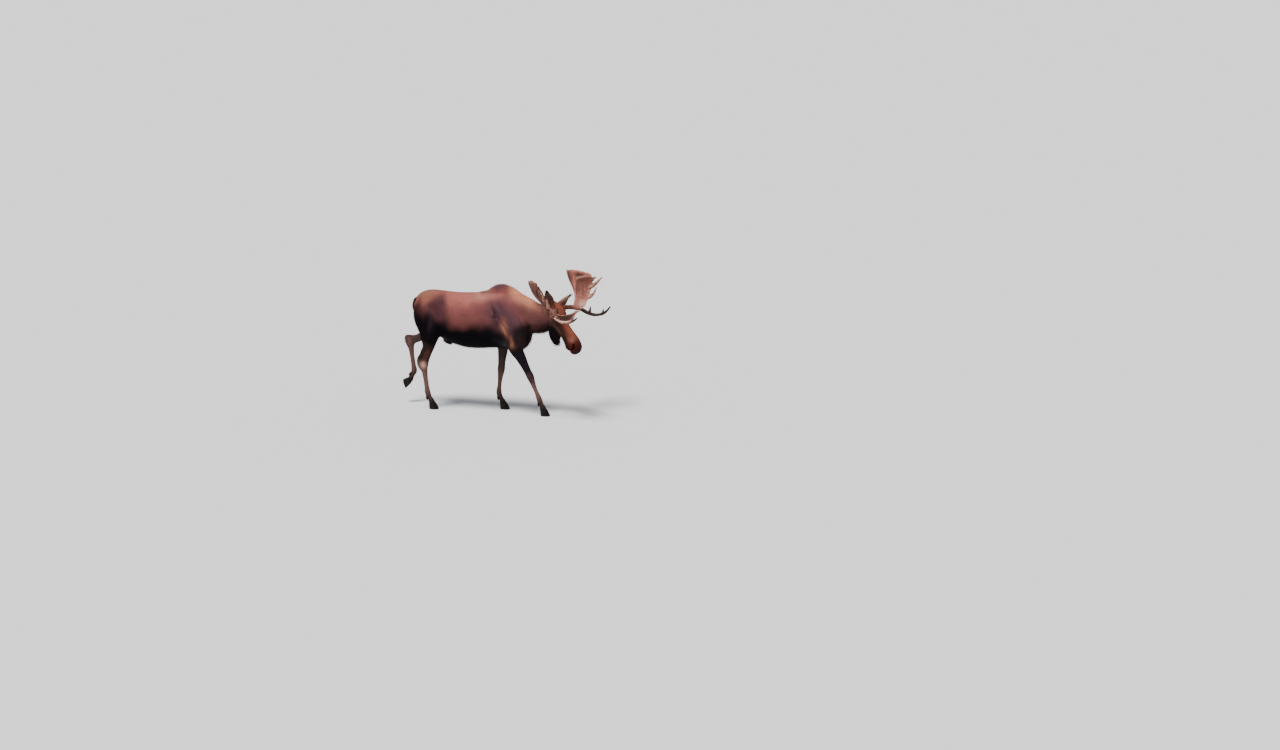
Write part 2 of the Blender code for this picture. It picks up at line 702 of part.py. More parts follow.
TINES = {
    "left": (
        # back from the fork, above, outwards: root, middle, tip; and the root's radius
        ((0.20, 0.15, 0.18), (0.22, 0.22, 0.30), (0.266, 0.291, 0.42), 0.022),
        ((0.08, 0.09, 0.10), (0.095, 0.155, 0.19), (0.165, 0.220, 0.275), 0.021),
        ((0.33, 0.20, 0.23), (0.330, 0.235, 0.28), (0.300, 0.265, 0.325), 0.017),
        ((-0.12, 0.075, 0.010), (-0.095, 0.105, 0.022), (-0.055, 0.125, 0.040), 0.016),
        ((-0.255, 0.24, 0.030), (-0.230, 0.275, 0.040), (-0.190, 0.295, 0.050), 0.014),
    ),
    "right": (
        ((0.20, 0.15, 0.18), (0.23, 0.22, 0.27), (0.285, 0.285, 0.36), 0.022),
        ((0.08, 0.09, 0.10), (0.12, 0.16, 0.17), (0.19, 0.225, 0.24), 0.021),
        ((0.33, 0.20, 0.23), (0.35, 0.235, 0.28), (0.35, 0.260, 0.315), 0.018),
        ((-0.125, 0.27, -0.11), (-0.145, 0.35, -0.108), (-0.160, 0.43, -0.10), 0.018),
    ),
}
PALM_KNOBS = 5  # shallow swellings along the far margin


def antler_place(side, back, above, out):
    """Place measured from the antler's fork."""
    along, height, half_span = FORK
    return in_head(along - back, height + above, side * (half_span + out))


def antler(side_name):
    """Beam, palm, brow branch and tines as overlapping closed forms."""
    side = SIDES[side_name]
    beam = loft(
        (
            (*in_head(0.105, -0.015, side * 0.098), 0.046, 0.046, 0.046),
            (*in_head(0.112, 0.000, side * 0.118), 0.047, 0.047, 0.047),
            (*in_head(0.125, 0.015, side * 0.150), 0.036, 0.036, 0.036),
            (*in_head(0.165, 0.045, side * 0.235), 0.035, 0.035, 0.034),
            (*in_head(0.200, 0.065, side * 0.310), 0.038, 0.040, 0.032),
            (*in_head(0.195, 0.085, side * 0.365), 0.036, 0.038, 0.026),
        ),
        front=BROW_WAY,
    )
    forms = [beam, palm_plate(side_name)]
    forms.append(
        loft(
            [(*antler_place(side, *place), thick, thick, wide) for *place, thick, wide in BROWS[side_name]],
            front=NOSE_WAY,
        )
    )
    if side_name == "right":
        forms.append(brow_plate(side))
    for root, middle, tip, radius in TINES[side_name]:
        forms.append(
            loft(
                [
                    (*antler_place(side, *place), radius * share, radius * share, radius * share)
                    for place, share in ((root, 1.15), (middle, 0.85), (tip, 0.42))
                ],
                front=BROW_WAY, sides=14,
            )
        )
    return forms


def plate(sheet, normal, thickness):
    """Closed plate about a grid of points, thickness to each side along the grid's normal."""
    top, bottom = sheet + normal * thickness, sheet - normal * thickness
    rows, columns = sheet.shape[:2]
    points = np.concatenate([top.reshape(-1, 3), bottom.reshape(-1, 3)])
    low = rows * columns
    faces = []
    for i in range(rows - 1):
        for j in range(columns - 1):
            a, b = i * columns + j, (i + 1) * columns + j
            faces.append([a, b, b + 1, a + 1])
            faces.append([low + a + 1, low + b + 1, low + b, low + a])
    border = (
        [(0, j) for j in range(columns)]
        + [(i, columns - 1) for i in range(1, rows)]
        + [(rows - 1, j) for j in range(columns - 2, -1, -1)]
        + [(i, 0) for i in range(rows - 2, 0, -1)]
    )
    for (i, j), (m, n) in zip(border, border[1:] + border[:1]):
        a, b = i * columns + j, m * columns + n
        faces.append([a, b, low + b, low + a])
    return points, faces


def facing(sheet, way):
    """Unit normals of a grid of points, all on the side of way."""
    normal = np.cross(np.gradient(sheet, axis=0), np.gradient(sheet, axis=1))
    normal /= np.linalg.norm(normal, axis=2, keepdims=True)
    return -normal if normal.mean((0, 1)) @ np.array(way) < 0 else normal


def palm_plate(side_name):
    """Cupped plate between the palm's rear and front edges, its far margin curled over and thickest."""
    side = SIDES[side_name]
    rear = through([antler_place(side, *place) for place in PALM_REAR[side_name]], 28)
    front = through([antler_place(side, *place) for place in PALM_FRONT[side_name]], 28)
    share = np.linspace(0, 1, 28)[:, None, None]
    across = np.linspace(0, 1, 21)[None, :, None]
    sheet = rear[:, None] * (1 - across) + front[:, None] * across
    outwards = (rear[-1] + front[-1]) / 2 - (rear[0] + front[0]) / 2
    outwards /= np.linalg.norm(outwards)
    swelling = 0.030 * np.sin(np.pi * across) ** 0.7 + 0.007 * np.sin(PALM_KNOBS * np.pi * across) ** 2
    sheet = sheet + swelling * outwards * share**4
    normal = facing(sheet, BROW_WAY)
    middle = 1 - (2 * across - 1) ** 2
    curl = CURL[side_name] * np.clip((share - 0.72) / 0.28, 0, 1) ** 2
    sheet = sheet + normal * (curl - 0.065 * middle * share**0.7)
    rim = np.maximum(np.abs(2 * across - 1) ** 8, share**8)
    return plate(sheet, facing(sheet, BROW_WAY), 0.0085 + 0.005 * rim + 0.012 * (1 - share) ** 1.5)


def brow_plate(side):
    """The cup of the broad brow branch, between its keel and its inner edge."""
    inner = through([antler_place(side, *place) for place in BROW_CUP], 18)
    keel = through([antler_place(side, *place) for place in BROW_KEEL], 18)
    across = np.linspace(0, 1, 9)[None, :, None]
    sheet = inner[:, None] * (1 - across) + keel[:, None] * across
    normal = facing(sheet, BROW_WAY)
    sheet = sheet - normal * 0.022 * (1 - (2 * across - 1) ** 2)
    return plate(sheet, facing(sheet, BROW_WAY), 0.009 + 0.004 * np.abs(2 * across - 1) ** 6)


# ---------------------------------------------------------------- hooves
CLAW_LENGTH = 0.135
CLAW_WIDTH = 0.052
LIFTED_TOE = 18  # degrees the lifted foot's toe points forward of straight down


def foot_frame(name):
    """Where a foot's coronet is, and the ways its toe and its sole point."""
    joints = leg_joints(name)
    coronet = joints[-1]
    if name == "hindleg_left":
        hang = math.radians(LIFTED_TOE)
        return coronet, Vector((math.sin(hang), 0, -math.cos(hang))), Vector((-math.cos(hang), 0, -math.sin(hang)))
    return coronet, Vector((1, 0, 0)), Vector((0, 0, -1))


def claws(name):
    """Two pointed claws under the coronet, with flat soles and a cleft between them."""
    coronet, toe, sole = foot_frame(name)
    across = Vector((0, 1, 0))
    made = {}
    for which, sign in (("outer", LEGS[name]["side"]), ("inner", -LEGS[name]["side"])):
        rows = []
        for share in np.linspace(0, 1, 4):
            drop = CORONET_HEIGHT * share
            centre = coronet + sole * drop + toe * (0.004 + 0.030 * share)
            half_length = 0.046 + (CLAW_LENGTH / 2 - 0.046) * share
            rows.append((centre, half_length, CLAW_WIDTH * (0.86 + 0.14 * share)))
        sides = 14
        points = []
        for centre, half_length, width in rows:
            for step in range(sides):
                turn = 2 * math.pi * step / sides
                reach = half_length * math.cos(turn)
                point = max(0.0, math.cos(turn)) ** 3  # the toe draws in towards the cleft
                out = width * (0.5 + 0.5 * math.sin(turn)) * (1 - 0.50 * point) + 0.0025 + 0.004 * point
                points.append(centre + toe * reach + across * sign * out)
        faces = [list(range(sides))[::-1], [len(points) - sides + step for step in range(sides)]]
        for ring in range(len(rows) - 1):
            for step in range(sides):
                after = (step + 1) % sides
                base = ring * sides
                faces.append([base + step, base + after, base + sides + after, base + sides + step])
        made[f"hoof_{name.replace('leg', '')}_{which}"] = (np.array(points), faces)
    return made


def dewclaws(name):
    """Two small claws behind the pastern."""
    joints = leg_joints(name)
    fetlock, coronet = joints[-2], joints[-1]
    way = (coronet - fetlock).normalized()
    behind = Vector((way.z, 0, -way.x))
    made = {}
    for which, sign in (("outer", LEGS[name]["side"]), ("inner", -LEGS[name]["side"])):
        root = fetlock.lerp(coronet, 0.30) + behind * 0.034 + Vector((0, sign * 0.026, 0))
        made[f"dewclaw_{name.replace('leg', '')}_{which}"] = loft(
            (
                (*(root - way * 0.012), 0.014, 0.014, 0.013),
                (*(root + way * 0.012 + behind * 0.004), 0.015, 0.014, 0.014),
                (*(root + way * 0.034 + behind * 0.012), 0.012, 0.010, 0.012),
                (*(root + way * 0.050 + behind * 0.018), 0.005, 0.004, 0.005),
            ),
            front=behind, rings=5, sides=8,
        )
    return made


# ---------------------------------------------------------------- assembly
EYE_RADIUS = 0.021


def eye_place(side):
    return in_head(0.232, -0.078, side * 0.0915)


def body():
    """The fused body before it is parted."""
    forms = trunk() + head()
    for name in LEGS:
        forms += foreleg(name) if name.startswith("fore") else hindleg(name)
    whole = mesh_object("whole_body", *joined(forms))
    fuse(whole, VOXEL)
    points = points_of(whole)
    nose = (points - np.array(POLL)) @ np.array(NOSE_WAY)
    on_head = np.clip((nose - 0.05) / 0.15, 0, 1) * (points[:, 0] > 0.6)
    on_leg = np.clip((0.98 - points[:, 2]) / 0.15, 0, 1) * (points[:, 0] < 0.8)
    calm = np.maximum(on_head, on_leg)
    relax(whole, 0.5 * (1 - 0.88 * calm), 26)
    relax(whole, np.full(len(points), 0.4), 2)
    thin_out(whole, BODY_TRIANGLES)
    return whole


def sheets():
    """Thin cuts that part the head, the neck and the legs from the trunk."""
    made = [
        cutting_sheet((0.36, 0, 1.455), (0.70, 0, 0.30), (0.28, 0, -0.70), 0.98, 0.9),
        cutting_sheet((0.70, -0.03, 1.42), (0.97, -0.10, -0.05), (0, 0, 1), 0.62, 0.5),
        cutting_sheet((-1.08, 0, 1.022), (0.19, 0, 0.56), (1, 0, 0), 0.66, 0.9),
    ]
    for side in SIDES.values():
        made.append(cutting_sheet((0.12, side * 0.2075, 0.9760), (0, -side * 0.56, 0.83), (1, 0, 0), 0.95, 0.366))
    return made


def coronet_blocks():
    """Blocks that trim each leg flat above its hoof."""
    blocks = []
    for name in LEGS:
        coronet, toe, sole = foot_frame(name)
        bpy.ops.mesh.primitive_cube_add(size=1)
        block = bpy.context.object
        frame = Matrix((toe, Vector((0, -1, 0)), sole)).transposed().to_4x4()
        middle = coronet + sole * (0.045 - TOUCH_GAP)
        block.data.transform(Matrix.Translation(middle) @ frame @ Matrix.Diagonal((0.22, 0.22, 0.09, 1)))
        blocks.append(block)
    return blocks


def main():
    clear_scene()
    coat = material("coat", (0.075, 0.036, 0.026), 0.6)
    velvet = material("velvet", (0.33, 0.18, 0.13), 0.85)
    horn = material("hoof_horn", (0.03, 0.025, 0.022), 0.45)
    eyeball = material("eye", (0.012, 0.007, 0.005), 0.08)

    whole = body()
    blocks = coronet_blocks()
    subtract(whole, blocks)
    for block in blocks:
        bpy.data.objects.remove(block)

    eyes = {}
    for side_name, side in SIDES.items():
        bpy.ops.mesh.primitive_uv_sphere_add(segments=14, ring_count=8, radius=EYE_RADIUS)
        eye = bpy.context.object
        eye.data.transform(Matrix.Translation(eye_place(side)))
        eye.name = f"eye_{side_name}"
        eye.data.materials.append(eyeball)
        eyes[side_name] = eye

    pieces = []
    for name, form, finish in (
        ("bell", bell(), coat),
        ("tail", tail(), coat),
        ("ear_left", ear("left"), coat),
        ("ear_right", ear("right"), coat),
    ):
        piece = mesh_object(name, *form)
        subtract(piece, [whole], TOUCH_GAP)
        piece.data.materials.clear()
        piece.data.materials.append(finish)
        pieces.append(piece)
    for name in LEGS:
        for key, form in claws(name).items():
            mesh_object(key, *form).data.materials.append(horn)
        for key, form in dewclaws(name).items():
            claw = mesh_object(key, *form)
            subtract(claw, [whole], TOUCH_GAP)
            claw.data.materials.clear()
            claw.data.materials.append(horn)

    for side_name, side in SIDES.items():
        antler_whole = mesh_object("antler", *joined(antler(side_name)))
        fuse(antler_whole, ANTLER_VOXEL)
        relax(antler_whole, np.full(len(antler_whole.data.vertices), 0.35), 3)
        thin_out(antler_whole, ANTLER_TRIANGLES)
        subtract(antler_whole, [whole], TOUCH_GAP)
        part_at(
            antler_whole,
            antler_sheets(side),
            {
                f"antler_{side_name}_beam": in_head(0.16, 0.03, side * 0.22),
                f"antler_{side_name}_palm": antler_place(side, 0.33, 0.12, 0.15),
                f"antler_{side_name}_brow": antler_place(side, -0.16, 0.20, 0.0),
            },
            {f"antler_{side_name}_{key}": velvet for key in ("beam", "palm", "brow")},
        )

    for eye in eyes.values():
        subtract(whole, [eye], TOUCH_GAP)
    anchors = {
        "trunk": (-0.45, 0, 1.38), "neck": (0.5, 0, 1.45), "head": in_head(0.35, -0.1, 0),
        "foreleg_right": (0.45, -0.16, 0.52), "foreleg_left": (-0.06, 0.16, 0.52),
        "hindleg_right": (-1.07, -0.16, 0.55), "hindleg_left": (-1.25, 0.16, 0.75),
    }
    part_at(whole, sheets(), anchors, {name: coat for name in anchors})
    settle()


def antler_sheets(side):
    """Cuts across the palm's stem and the brow branch's root."""
    def way(back, above, out):
        return BROW_WAY * above - NOSE_WAY * back + LEFT_WAY * side * out

    return [
        cutting_sheet(antler_place(side, 0.10, 0.03, 0.02), way(0.80, 0.30, 0.35), way(-0.3, 0.55, 0.6), 0.42, 0.3),
        cutting_sheet(antler_place(side, -0.045, 0.030, 0.0), way(-0.80, 0.55, 0.0), way(0.5, 0.8, 0), 0.17, 0.17),
    ]


def settle():
    """Moves everything so that the middle of the whole stands on the origin with its soles at the floor."""
    solids = [obj for obj in bpy.data.objects if obj.type == "MESH"]
    lows = np.min([points_of(obj).min(0) for obj in solids], axis=0)
    highs = np.max([points_of(obj).max(0) for obj in solids], axis=0)
    shift = Vector((-(lows[0] + highs[0]) / 2, -(lows[1] + highs[1]) / 2, -lows[2]))
    for obj in solids:
        obj.data.transform(Matrix.Translation(shift))


main()
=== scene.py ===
import math

import bmesh
import bpy
import numpy as np
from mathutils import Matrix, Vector


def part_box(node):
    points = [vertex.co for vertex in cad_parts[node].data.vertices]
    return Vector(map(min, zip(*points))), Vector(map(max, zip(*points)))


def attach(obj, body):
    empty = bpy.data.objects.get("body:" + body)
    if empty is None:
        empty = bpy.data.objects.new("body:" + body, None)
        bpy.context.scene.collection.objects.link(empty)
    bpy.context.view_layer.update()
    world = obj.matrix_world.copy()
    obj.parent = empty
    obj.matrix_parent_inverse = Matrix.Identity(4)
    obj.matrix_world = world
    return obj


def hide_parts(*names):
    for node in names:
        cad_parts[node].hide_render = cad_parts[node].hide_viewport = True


# A bull moose in summer coat and velvet, as a museum model. Metres, nose towards +X, its left towards +Y.
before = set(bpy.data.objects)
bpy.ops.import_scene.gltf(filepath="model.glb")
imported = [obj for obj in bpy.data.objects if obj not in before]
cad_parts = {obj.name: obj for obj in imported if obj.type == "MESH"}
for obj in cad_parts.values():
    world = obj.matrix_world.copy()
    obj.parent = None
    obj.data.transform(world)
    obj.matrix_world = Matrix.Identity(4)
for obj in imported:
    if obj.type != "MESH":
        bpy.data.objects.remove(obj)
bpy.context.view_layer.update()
draws = np.random.default_rng(11)

# The pose
bones = {  # lengths of the upper bone, the cannon bone and the pastern
    "fore": (0.42, 0.355, 0.15), "hind": (0.495, 0.43, 0.15), "coronetHeight": 0.095,
}
headPose = {"turn": -20, "pitch": 52, "poll": (0.803, -0.03, 1.656)}
sides = {"left": 1, "right": -1}

turn, pitch = math.radians(headPose["turn"]), math.radians(headPose["pitch"])
heading = Vector((math.cos(turn), math.sin(turn), 0))
noseWay = heading * math.cos(pitch) - Vector((0, 0, math.sin(pitch)))
browWay = heading * math.sin(pitch) + Vector((0, 0, math.cos(pitch)))
leftWay = Vector((-math.sin(turn), math.cos(turn), 0))
headAxes = np.array([noseWay, browWay, leftWay])
poll = Vector(headPose["poll"])


def inHead(along, above, left):  # a place from the poll: along the face, above its bridge, to its left
    return poll + noseWay * along + browWay * above + leftWay * left


def headPlaces(points):  # the same three measures for an array of points
    return (points - np.array(poll)) @ headAxes.T


eyeLook = {"radius": 0.021, "place": (0.232, -0.078, 0.0915), "bulge": 0.0016}


def eyePlace(side):
    along, above, out = eyeLook["place"]
    return inHead(along, above, side * out)


low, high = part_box("eye_left")
bodyToFrame = np.array((low + high) / 2) - np.array(eyePlace(1))  # shapes are made with x = 0 under the hump


# Shared mesh work
def through(rows, count):
    # Smooth curve through the rows: cubic pieces whose slopes are the slopes between neighbouring rows.
    rows = np.asarray(rows, float)
    steps = lengthOf(np.diff(rows[:, :3], axis=0))
    knots = np.concatenate([[0], np.cumsum(steps)])
    slopes = np.gradient(rows, knots, axis=0)
    at = np.linspace(0, knots[-1], count)
    left = np.clip(np.searchsorted(knots, at, side="right") - 1, 0, len(rows) - 2)
    width = (knots[left + 1] - knots[left])[:, None]
    t = (at - knots[left])[:, None] / width
    return (
        (2 * t**3 - 3 * t**2 + 1) * rows[left]
        + (t**3 - 2 * t**2 + t) * width * slopes[left]
        + (3 * t**2 - 2 * t**3) * rows[left + 1]
        + (t**3 - t**2) * width * slopes[left + 1]
    )


def loft(rows, front, along=None, rings=None, around=32, spacing=0.02):
    # Closed form along a path: each section is an oval whose width is half * cos^n and whose rise is
    # reach * sin, with its own reach and narrowing n towards the front and away from it.
    # Row: x, y, z, reach to front, reach behind, half width, and optionally the two narrowings.
    rows = [tuple(row) + (1.0, 1.0)[len(row) - 6 :] if len(row) < 8 else tuple(row) for row in rows]
    length = sum(math.dist(a[:3], b[:3]) for a, b in zip(rows, rows[1:]))
    rings = rings or max(8, round(length / spacing))
    path = through(rows, rings)
    centres = path[:, :3]
    reachFront, reachBack, half, narrowFront, narrowBack = np.maximum(path[:, 3:], 0.002).T
    front = np.asarray(front, float)
    way = np.gradient(centres, axis=0) if along is None else np.tile(np.asarray(along, float), (rings, 1))
    way = unit(way)
    ahead = unit(front - way * (way @ front)[:, None])
    across = np.cross(way, ahead)
    angle = np.linspace(0, 2 * math.pi, around, endpoint=False)
    cosine, sine = np.cos(angle), np.sin(angle)
    power = np.where(sine > 0, narrowFront[:, None], narrowBack[:, None])
    width = half[:, None] * np.sign(cosine) * np.abs(cosine) ** power
    rise = np.where(sine > 0, reachFront[:, None], reachBack[:, None]) * sine
    points = centres[:, None] + across[:, None] * width[..., None] + ahead[:, None] * rise[..., None]
    points = np.concatenate([points.reshape(-1, 3), centres[[0, -1]]])
    return points, tubeFaces(rings, around)


def gridFaces(rows, columns, rowsMeet=False, columnsMeet=True):
    # Quads between neighbouring rows and columns of a grid of points, whose last and first ones may meet.
    i, j = np.meshgrid(np.arange(rows - 1 + rowsMeet), np.arange(columns - 1 + columnsMeet), indexing="ij")
    a, b, after = i * columns, (i + 1) % rows * columns, (j + 1) % columns
    return np.stack([a + j, a + after, b + after, b + j], -1).reshape(-1, 4)


def tubeFaces(rings, around):
    # Quads round a stack of rings, and a fan at each end about the two points that follow the rings.
    start, last = np.arange(around), (rings - 1) * around
    beyond = (start + 1) % around
    firstCap = np.stack([beyond, start, np.full(around, rings * around)], -1)
    lastCap = np.stack([last + start, last + beyond, np.full(around, rings * around + 1)], -1)
    return gridFaces(rings, around).tolist() + firstCap.tolist() + lastCap.tolist()


def joined(forms):
    points, faces, start = [], [], 0
    for formPoints, formFaces in forms:
        points.append(formPoints)
        faces += [[start + corner for corner in face] for face in formFaces]
        start += len(formPoints)
    return np.concatenate(points), faces


def newObject(name, data):
    made = bpy.data.objects.new(name, data)
    bpy.context.scene.collection.objects.link(made)
    return made


def meshObject(name, points, faces):
    mesh = bpy.data.meshes.new(name)
    mesh.from_pydata(np.asarray(points).tolist(), [], faces)
    shape = bmesh.new()
    shape.from_mesh(mesh)
    bmesh.ops.recalc_face_normals(shape, faces=shape.faces)
    shape.to_mesh(mesh)
    shape.free()
    mesh.shade_smooth()
    return newObject(name, mesh)


def modify(piece, kind, **settings):
    # Works one modifier into the piece's mesh.
    modifier = piece.modifiers.new(kind, kind)
    for key, value in settings.items():
        setattr(modifier, key, value)
    bpy.context.view_layer.update()
    graph = bpy.context.evaluated_depsgraph_get()
    made = bpy.data.meshes.new_from_object(piece.evaluated_get(graph))
    piece.modifiers.clear()
    old, piece.data = piece.data, made
    bpy.data.meshes.remove(old)


def fuse(piece, voxel):  # makes one closed surface of everything in the mesh
    modify(piece, "REMESH", mode="VOXEL", voxel_size=voxel)


def valuesOf(items, name, width, kind=float):  # one property of every item, as the rows of an array
    values = np.empty(len(items) * width, kind)
    items.foreach_get(name, values)
    return values.reshape(-1, width)


def pointsOf(piece):
    return valuesOf(piece.data.vertices, "co", 3)


def setPoints(piece, points):
    piece.data.vertices.foreach_set("co", points.ravel())
    piece.data.update()


def normalsOf(piece):
    return valuesOf(piece.data.vertex_normals, "vector", 3)


def edgesOf(piece):
    return valuesOf(piece.data.edges, "vertices", 2, int)


def neighbourMean(edges, values, count):
    # For each vertex, the mean of the values at the vertices that share an edge with it.
    a, b, size = edges[:, 0], edges[:, 1], len(values)
    total = [np.bincount(a, column[b], size) + np.bincount(b, column[a], size) for column in values.T]
    return np.stack(total, -1) / count


def neighbourCount(edges, size):
    return np.bincount(edges.ravel(), minlength=size)[:, None]


def relax(piece, strength, rounds):
    # Each vertex moves by its strength towards the mean of its neighbours, round after round.
    edges, points = edgesOf(piece), pointsOf(piece)
    count = neighbourCount(edges, len(points))
    strength = np.broadcast_to(strength, len(points))[:, None]
    for _ in range(rounds):
        points += strength * (neighbourMean(edges, points, count) - points)
    setPoints(piece, points)


def smooth(low, high, value):  # 0 below low, 1 above high, and an S-curve between
    t = np.clip((value - low) / (high - low), 0, 1)
    return t * t * (3 - 2 * t)


def unit(ways):  # each way at a length of 1
    return ways / np.linalg.norm(ways, axis=-1, keepdims=True)


def lengthOf(ways):
    return np.linalg.norm(ways, axis=1)


def gapTo(points, place):  # distance of each point to one place
    return lengthOf(points - np.array(place))


def lineFoot(places, line, radii=None):
    # The nearest place on a line of straight pieces: the gap to it, over the line's own radius there if
    # that is given, how far along the whole line it is, and where it is.
    line = np.array(line, float)
    best, along, foot, start = np.full(len(places), 1e9), np.zeros(len(places)), np.zeros(places.shape), 0.0
    for index, (a, b) in enumerate(zip(line[:-1], line[1:])):
        span = b - a
        length = np.linalg.norm(span)
        t = np.clip((places - a) @ span / length**2, 0, 1)
        gap = lengthOf(places - a - t[:, None] * span)
        if radii is not None:
            gap = gap / (radii[index] + (radii[index + 1] - radii[index]) * t)
        closer = gap < best
        best = np.where(closer, gap, best)
        along = np.where(closer, start + t * length, along)
        foot = np.where(closer[:, None], a + t[:, None] * span, foot)
        start += length
    return best, along, foot


def lineGap(places, line):
    return lineFoot(places, line)[0]


def falloff(value, width):  # 1 at 0, falling off on both sides as exp(-(value / width)^2)
    return np.exp(-((value / width) ** 2))


def strokes(places, lines):
    # Sum of soft ridges and grooves: each is height * exp(-(distance / width)^2) about its line.
    return sum(height * falloff(lineGap(places, line), width) for height, width, line in lines)


def blotches(points, size, seed=3, waves=16):
    # An uneven field about 0 whose patches are about half the size across: the mean of cosines along
    # scattered ways, scaled to a spread of 1.
    scatter = np.random.default_rng(seed)
    ways = scatter.normal(size=(3, waves))
    ways /= np.linalg.norm(ways, axis=0)
    phases = scatter.random(waves) * 2 * math.pi
    return np.cos(points @ ways * (2 * math.pi / size) + phases).sum(1) / math.sqrt(waves / 2)


# Trunk and neck
trunkShape = {
    "barrel": (  # x, back, belly, half width, height of the widest part, narrowing above, narrowing below
        (-1.322, 1.49, 1.33, 0.045, 1.42, 1, 1), (-1.285, 1.61, 1.22, 0.12, 1.42, 1, 1),
        (-1.205, 1.688, 1.15, 0.19, 1.42, 1, 1), (-1.09, 1.726, 1.1, 0.225, 1.43, 1.05, 1),
        (-0.93, 1.728, 1.035, 0.243, 1.4, 1.05, 0.9), (-0.74, 1.717, 0.955, 0.26, 1.33, 1.05, 0.9),
        (-0.5, 1.722, 0.905, 0.28, 1.27, 1.05, 0.9), (-0.28, 1.755, 0.912, 0.277, 1.27, 1.15, 0.95),
        (-0.12, 1.815, 0.925, 0.257, 1.27, 1.45, 1.05), (0.02, 1.853, 0.925, 0.24, 1.28, 1.55, 1.15),
        (0.15, 1.815, 0.93, 0.223, 1.3, 1.4, 1.2), (0.28, 1.745, 0.975, 0.2, 1.33, 1.2, 1.2),
        (0.375, 1.68, 1.08, 0.145, 1.35, 1.1, 1.1), (0.43, 1.6, 1.2, 0.07, 1.37, 1, 1),
    ),
    "neck": (
        (0.06, 0, 1.42, 0.36, 0.3, 0.17, 1.2, 1), (0.24, 0, 1.42, 0.335, 0.3, 0.175, 1.2, 1),
        (0.4, -0.002, 1.41, 0.285, 0.258, 0.165, 1.1, 1), (0.54, -0.01, 1.405, 0.225, 0.225, 0.145, 1.05, 1),
        (0.66, -0.022, 1.415, 0.185, 0.19, 0.125, 1, 1), (0.76, -0.04, 1.44, 0.155, 0.16, 0.105),
    ),
    "mane": (
        (-0.22, 0, 1.72, 0.045, 0.08, 0.04, 1.3), (-0.12, 0, 1.76, 0.08, 0.08, 0.055, 1.3),
        (0, 0, 1.79, 0.083, 0.08, 0.06, 1.3), (0.12, 0, 1.77, 0.085, 0.08, 0.06, 1.3),
        (0.24, 0, 1.7, 0.085, 0.08, 0.055, 1.3), (0.42, 0, 1.62, 0.075, 0.08, 0.045, 1.3),
        (0.6, -0.02, 1.545, 0.06, 0.06, 0.035, 1.3),
    ),
    "brisket": (
        (-0.08, 0, 1.02, 0.08, 0.09, 0.09), (0.1, 0, 1.02, 0.11, 0.105, 0.12),
        (0.24, 0, 1.045, 0.13, 0.13, 0.125), (0.325, 0, 1.12, 0.12, 0.125, 0.11),
        (0.365, 0, 1.23, 0.09, 0.085, 0.08),
    ),
    "sheath": (
        (-0.9, 0, 1, 0.03, 0.035, 0.04), (-0.82, 0, 0.955, 0.03, 0.035, 0.035),
        (-0.75, 0, 0.935, 0.02, 0.03, 0.025),
    ),
    "hipBone": (
        (-1.16, 0.135, 1.51, 0.105, 0.12, 0.07), (-0.98, 0.165, 1.53, 0.105, 0.16, 0.075),
        (-0.82, 0.175, 1.5, 0.06, 0.14, 0.06),
    ),
}


def trunkForms():
    barrel = [(x, 0, wide, back - wide, wide - belly, half, roof, keel)
            for x, back, belly, half, wide, roof, keel in trunkShape["barrel"]]
    forms = [loft(barrel, (0, 0, 1), along=(1, 0, 0), around=48)]
    forms += [loft(trunkShape[name], (0, 0, 1)) for name in ("neck", "mane", "brisket", "sheath")]
    for side in sides.values():
        forms.append(loft([(x, side * y, *rest) for x, y, *rest in trunkShape["hipBone"]], (0, 0, 1)))
    return forms


# Legs
legs = {  # top joint (x, z), the bones' swing forward of straight down, the joints' y, how wide they stand
    "foreRight": {"side": -1, "top": (0.265, 0.955), "swings": (26.5, 22.5, 21.0), "ys": (0.155, 0.135, 0.13),
        "shoulder": (0.345, 1.215), "blade": (0.03, 1.67), "spread": (0.17, 0.182),
        "root": (0.3, 0.18, 1.13)},
    "foreLeft": {"side": 1, "top": (-0.035, 0.99), "swings": (-5.0, -4.5, 24.0), "ys": (0.148, 0.134, 0.134),
        "shoulder": (0.235, 1.205), "blade": (-0.03, 1.66), "spread": (0.165, 0.182),
        "root": (0.12, 0.18, 1.13), "shade": 0.8},
    "hindRight": {"side": -1, "top": (-0.955, 1.12), "swings": (-21.0, 6.5, 25.0), "ys": (0.165, 0.14, 0.137),
        "spread": (0.192, 0.155), "root": (-1.06, 0.15, 1.36), "cord": 0.105, "ham": -0.08},
    "hindLeft": {"side": 1, "top": (-0.985, 1.095), "swings": (-66.0, 8.7, -27.0), "ys": (0.175, 0.155, 0.15),
        "spread": (0.192, 0.155), "root": (-1.06, 0.15, 1.36), "cord": 0.066, "ham": -0.04,
        "shade": 0.85},
}
liftedLeg = "hindLeft"
foreProfile = (  # bone, share of its length, shift forward, reach to the front, to the back, half width
    (0, -0.2, -0.01, 0.11, 0.13, 0.085), (0, 0.05, -0.005, 0.095, 0.112, 0.075),
    (0, 0.3, 0, 0.082, 0.086, 0.062), (0, 0.62, 0, 0.066, 0.066, 0.05), (0, 0.86, 0, 0.06, 0.056, 0.048),
    (0, 1, 0, 0.061, 0.054, 0.051), (1, 0.12, 0, 0.054, 0.05, 0.046), (1, 0.35, 0, 0.041, 0.044, 0.034),
    (1, 0.7, 0, 0.032, 0.039, 0.032), (1, 0.93, 0, 0.038, 0.046, 0.041), (2, 0.08, 0, 0.038, 0.047, 0.043),
    (2, 0.5, 0, 0.034, 0.038, 0.038), (2, 0.92, 0, 0.046, 0.044, 0.05), (2, 1.08, 0, 0.048, 0.046, 0.054),
)
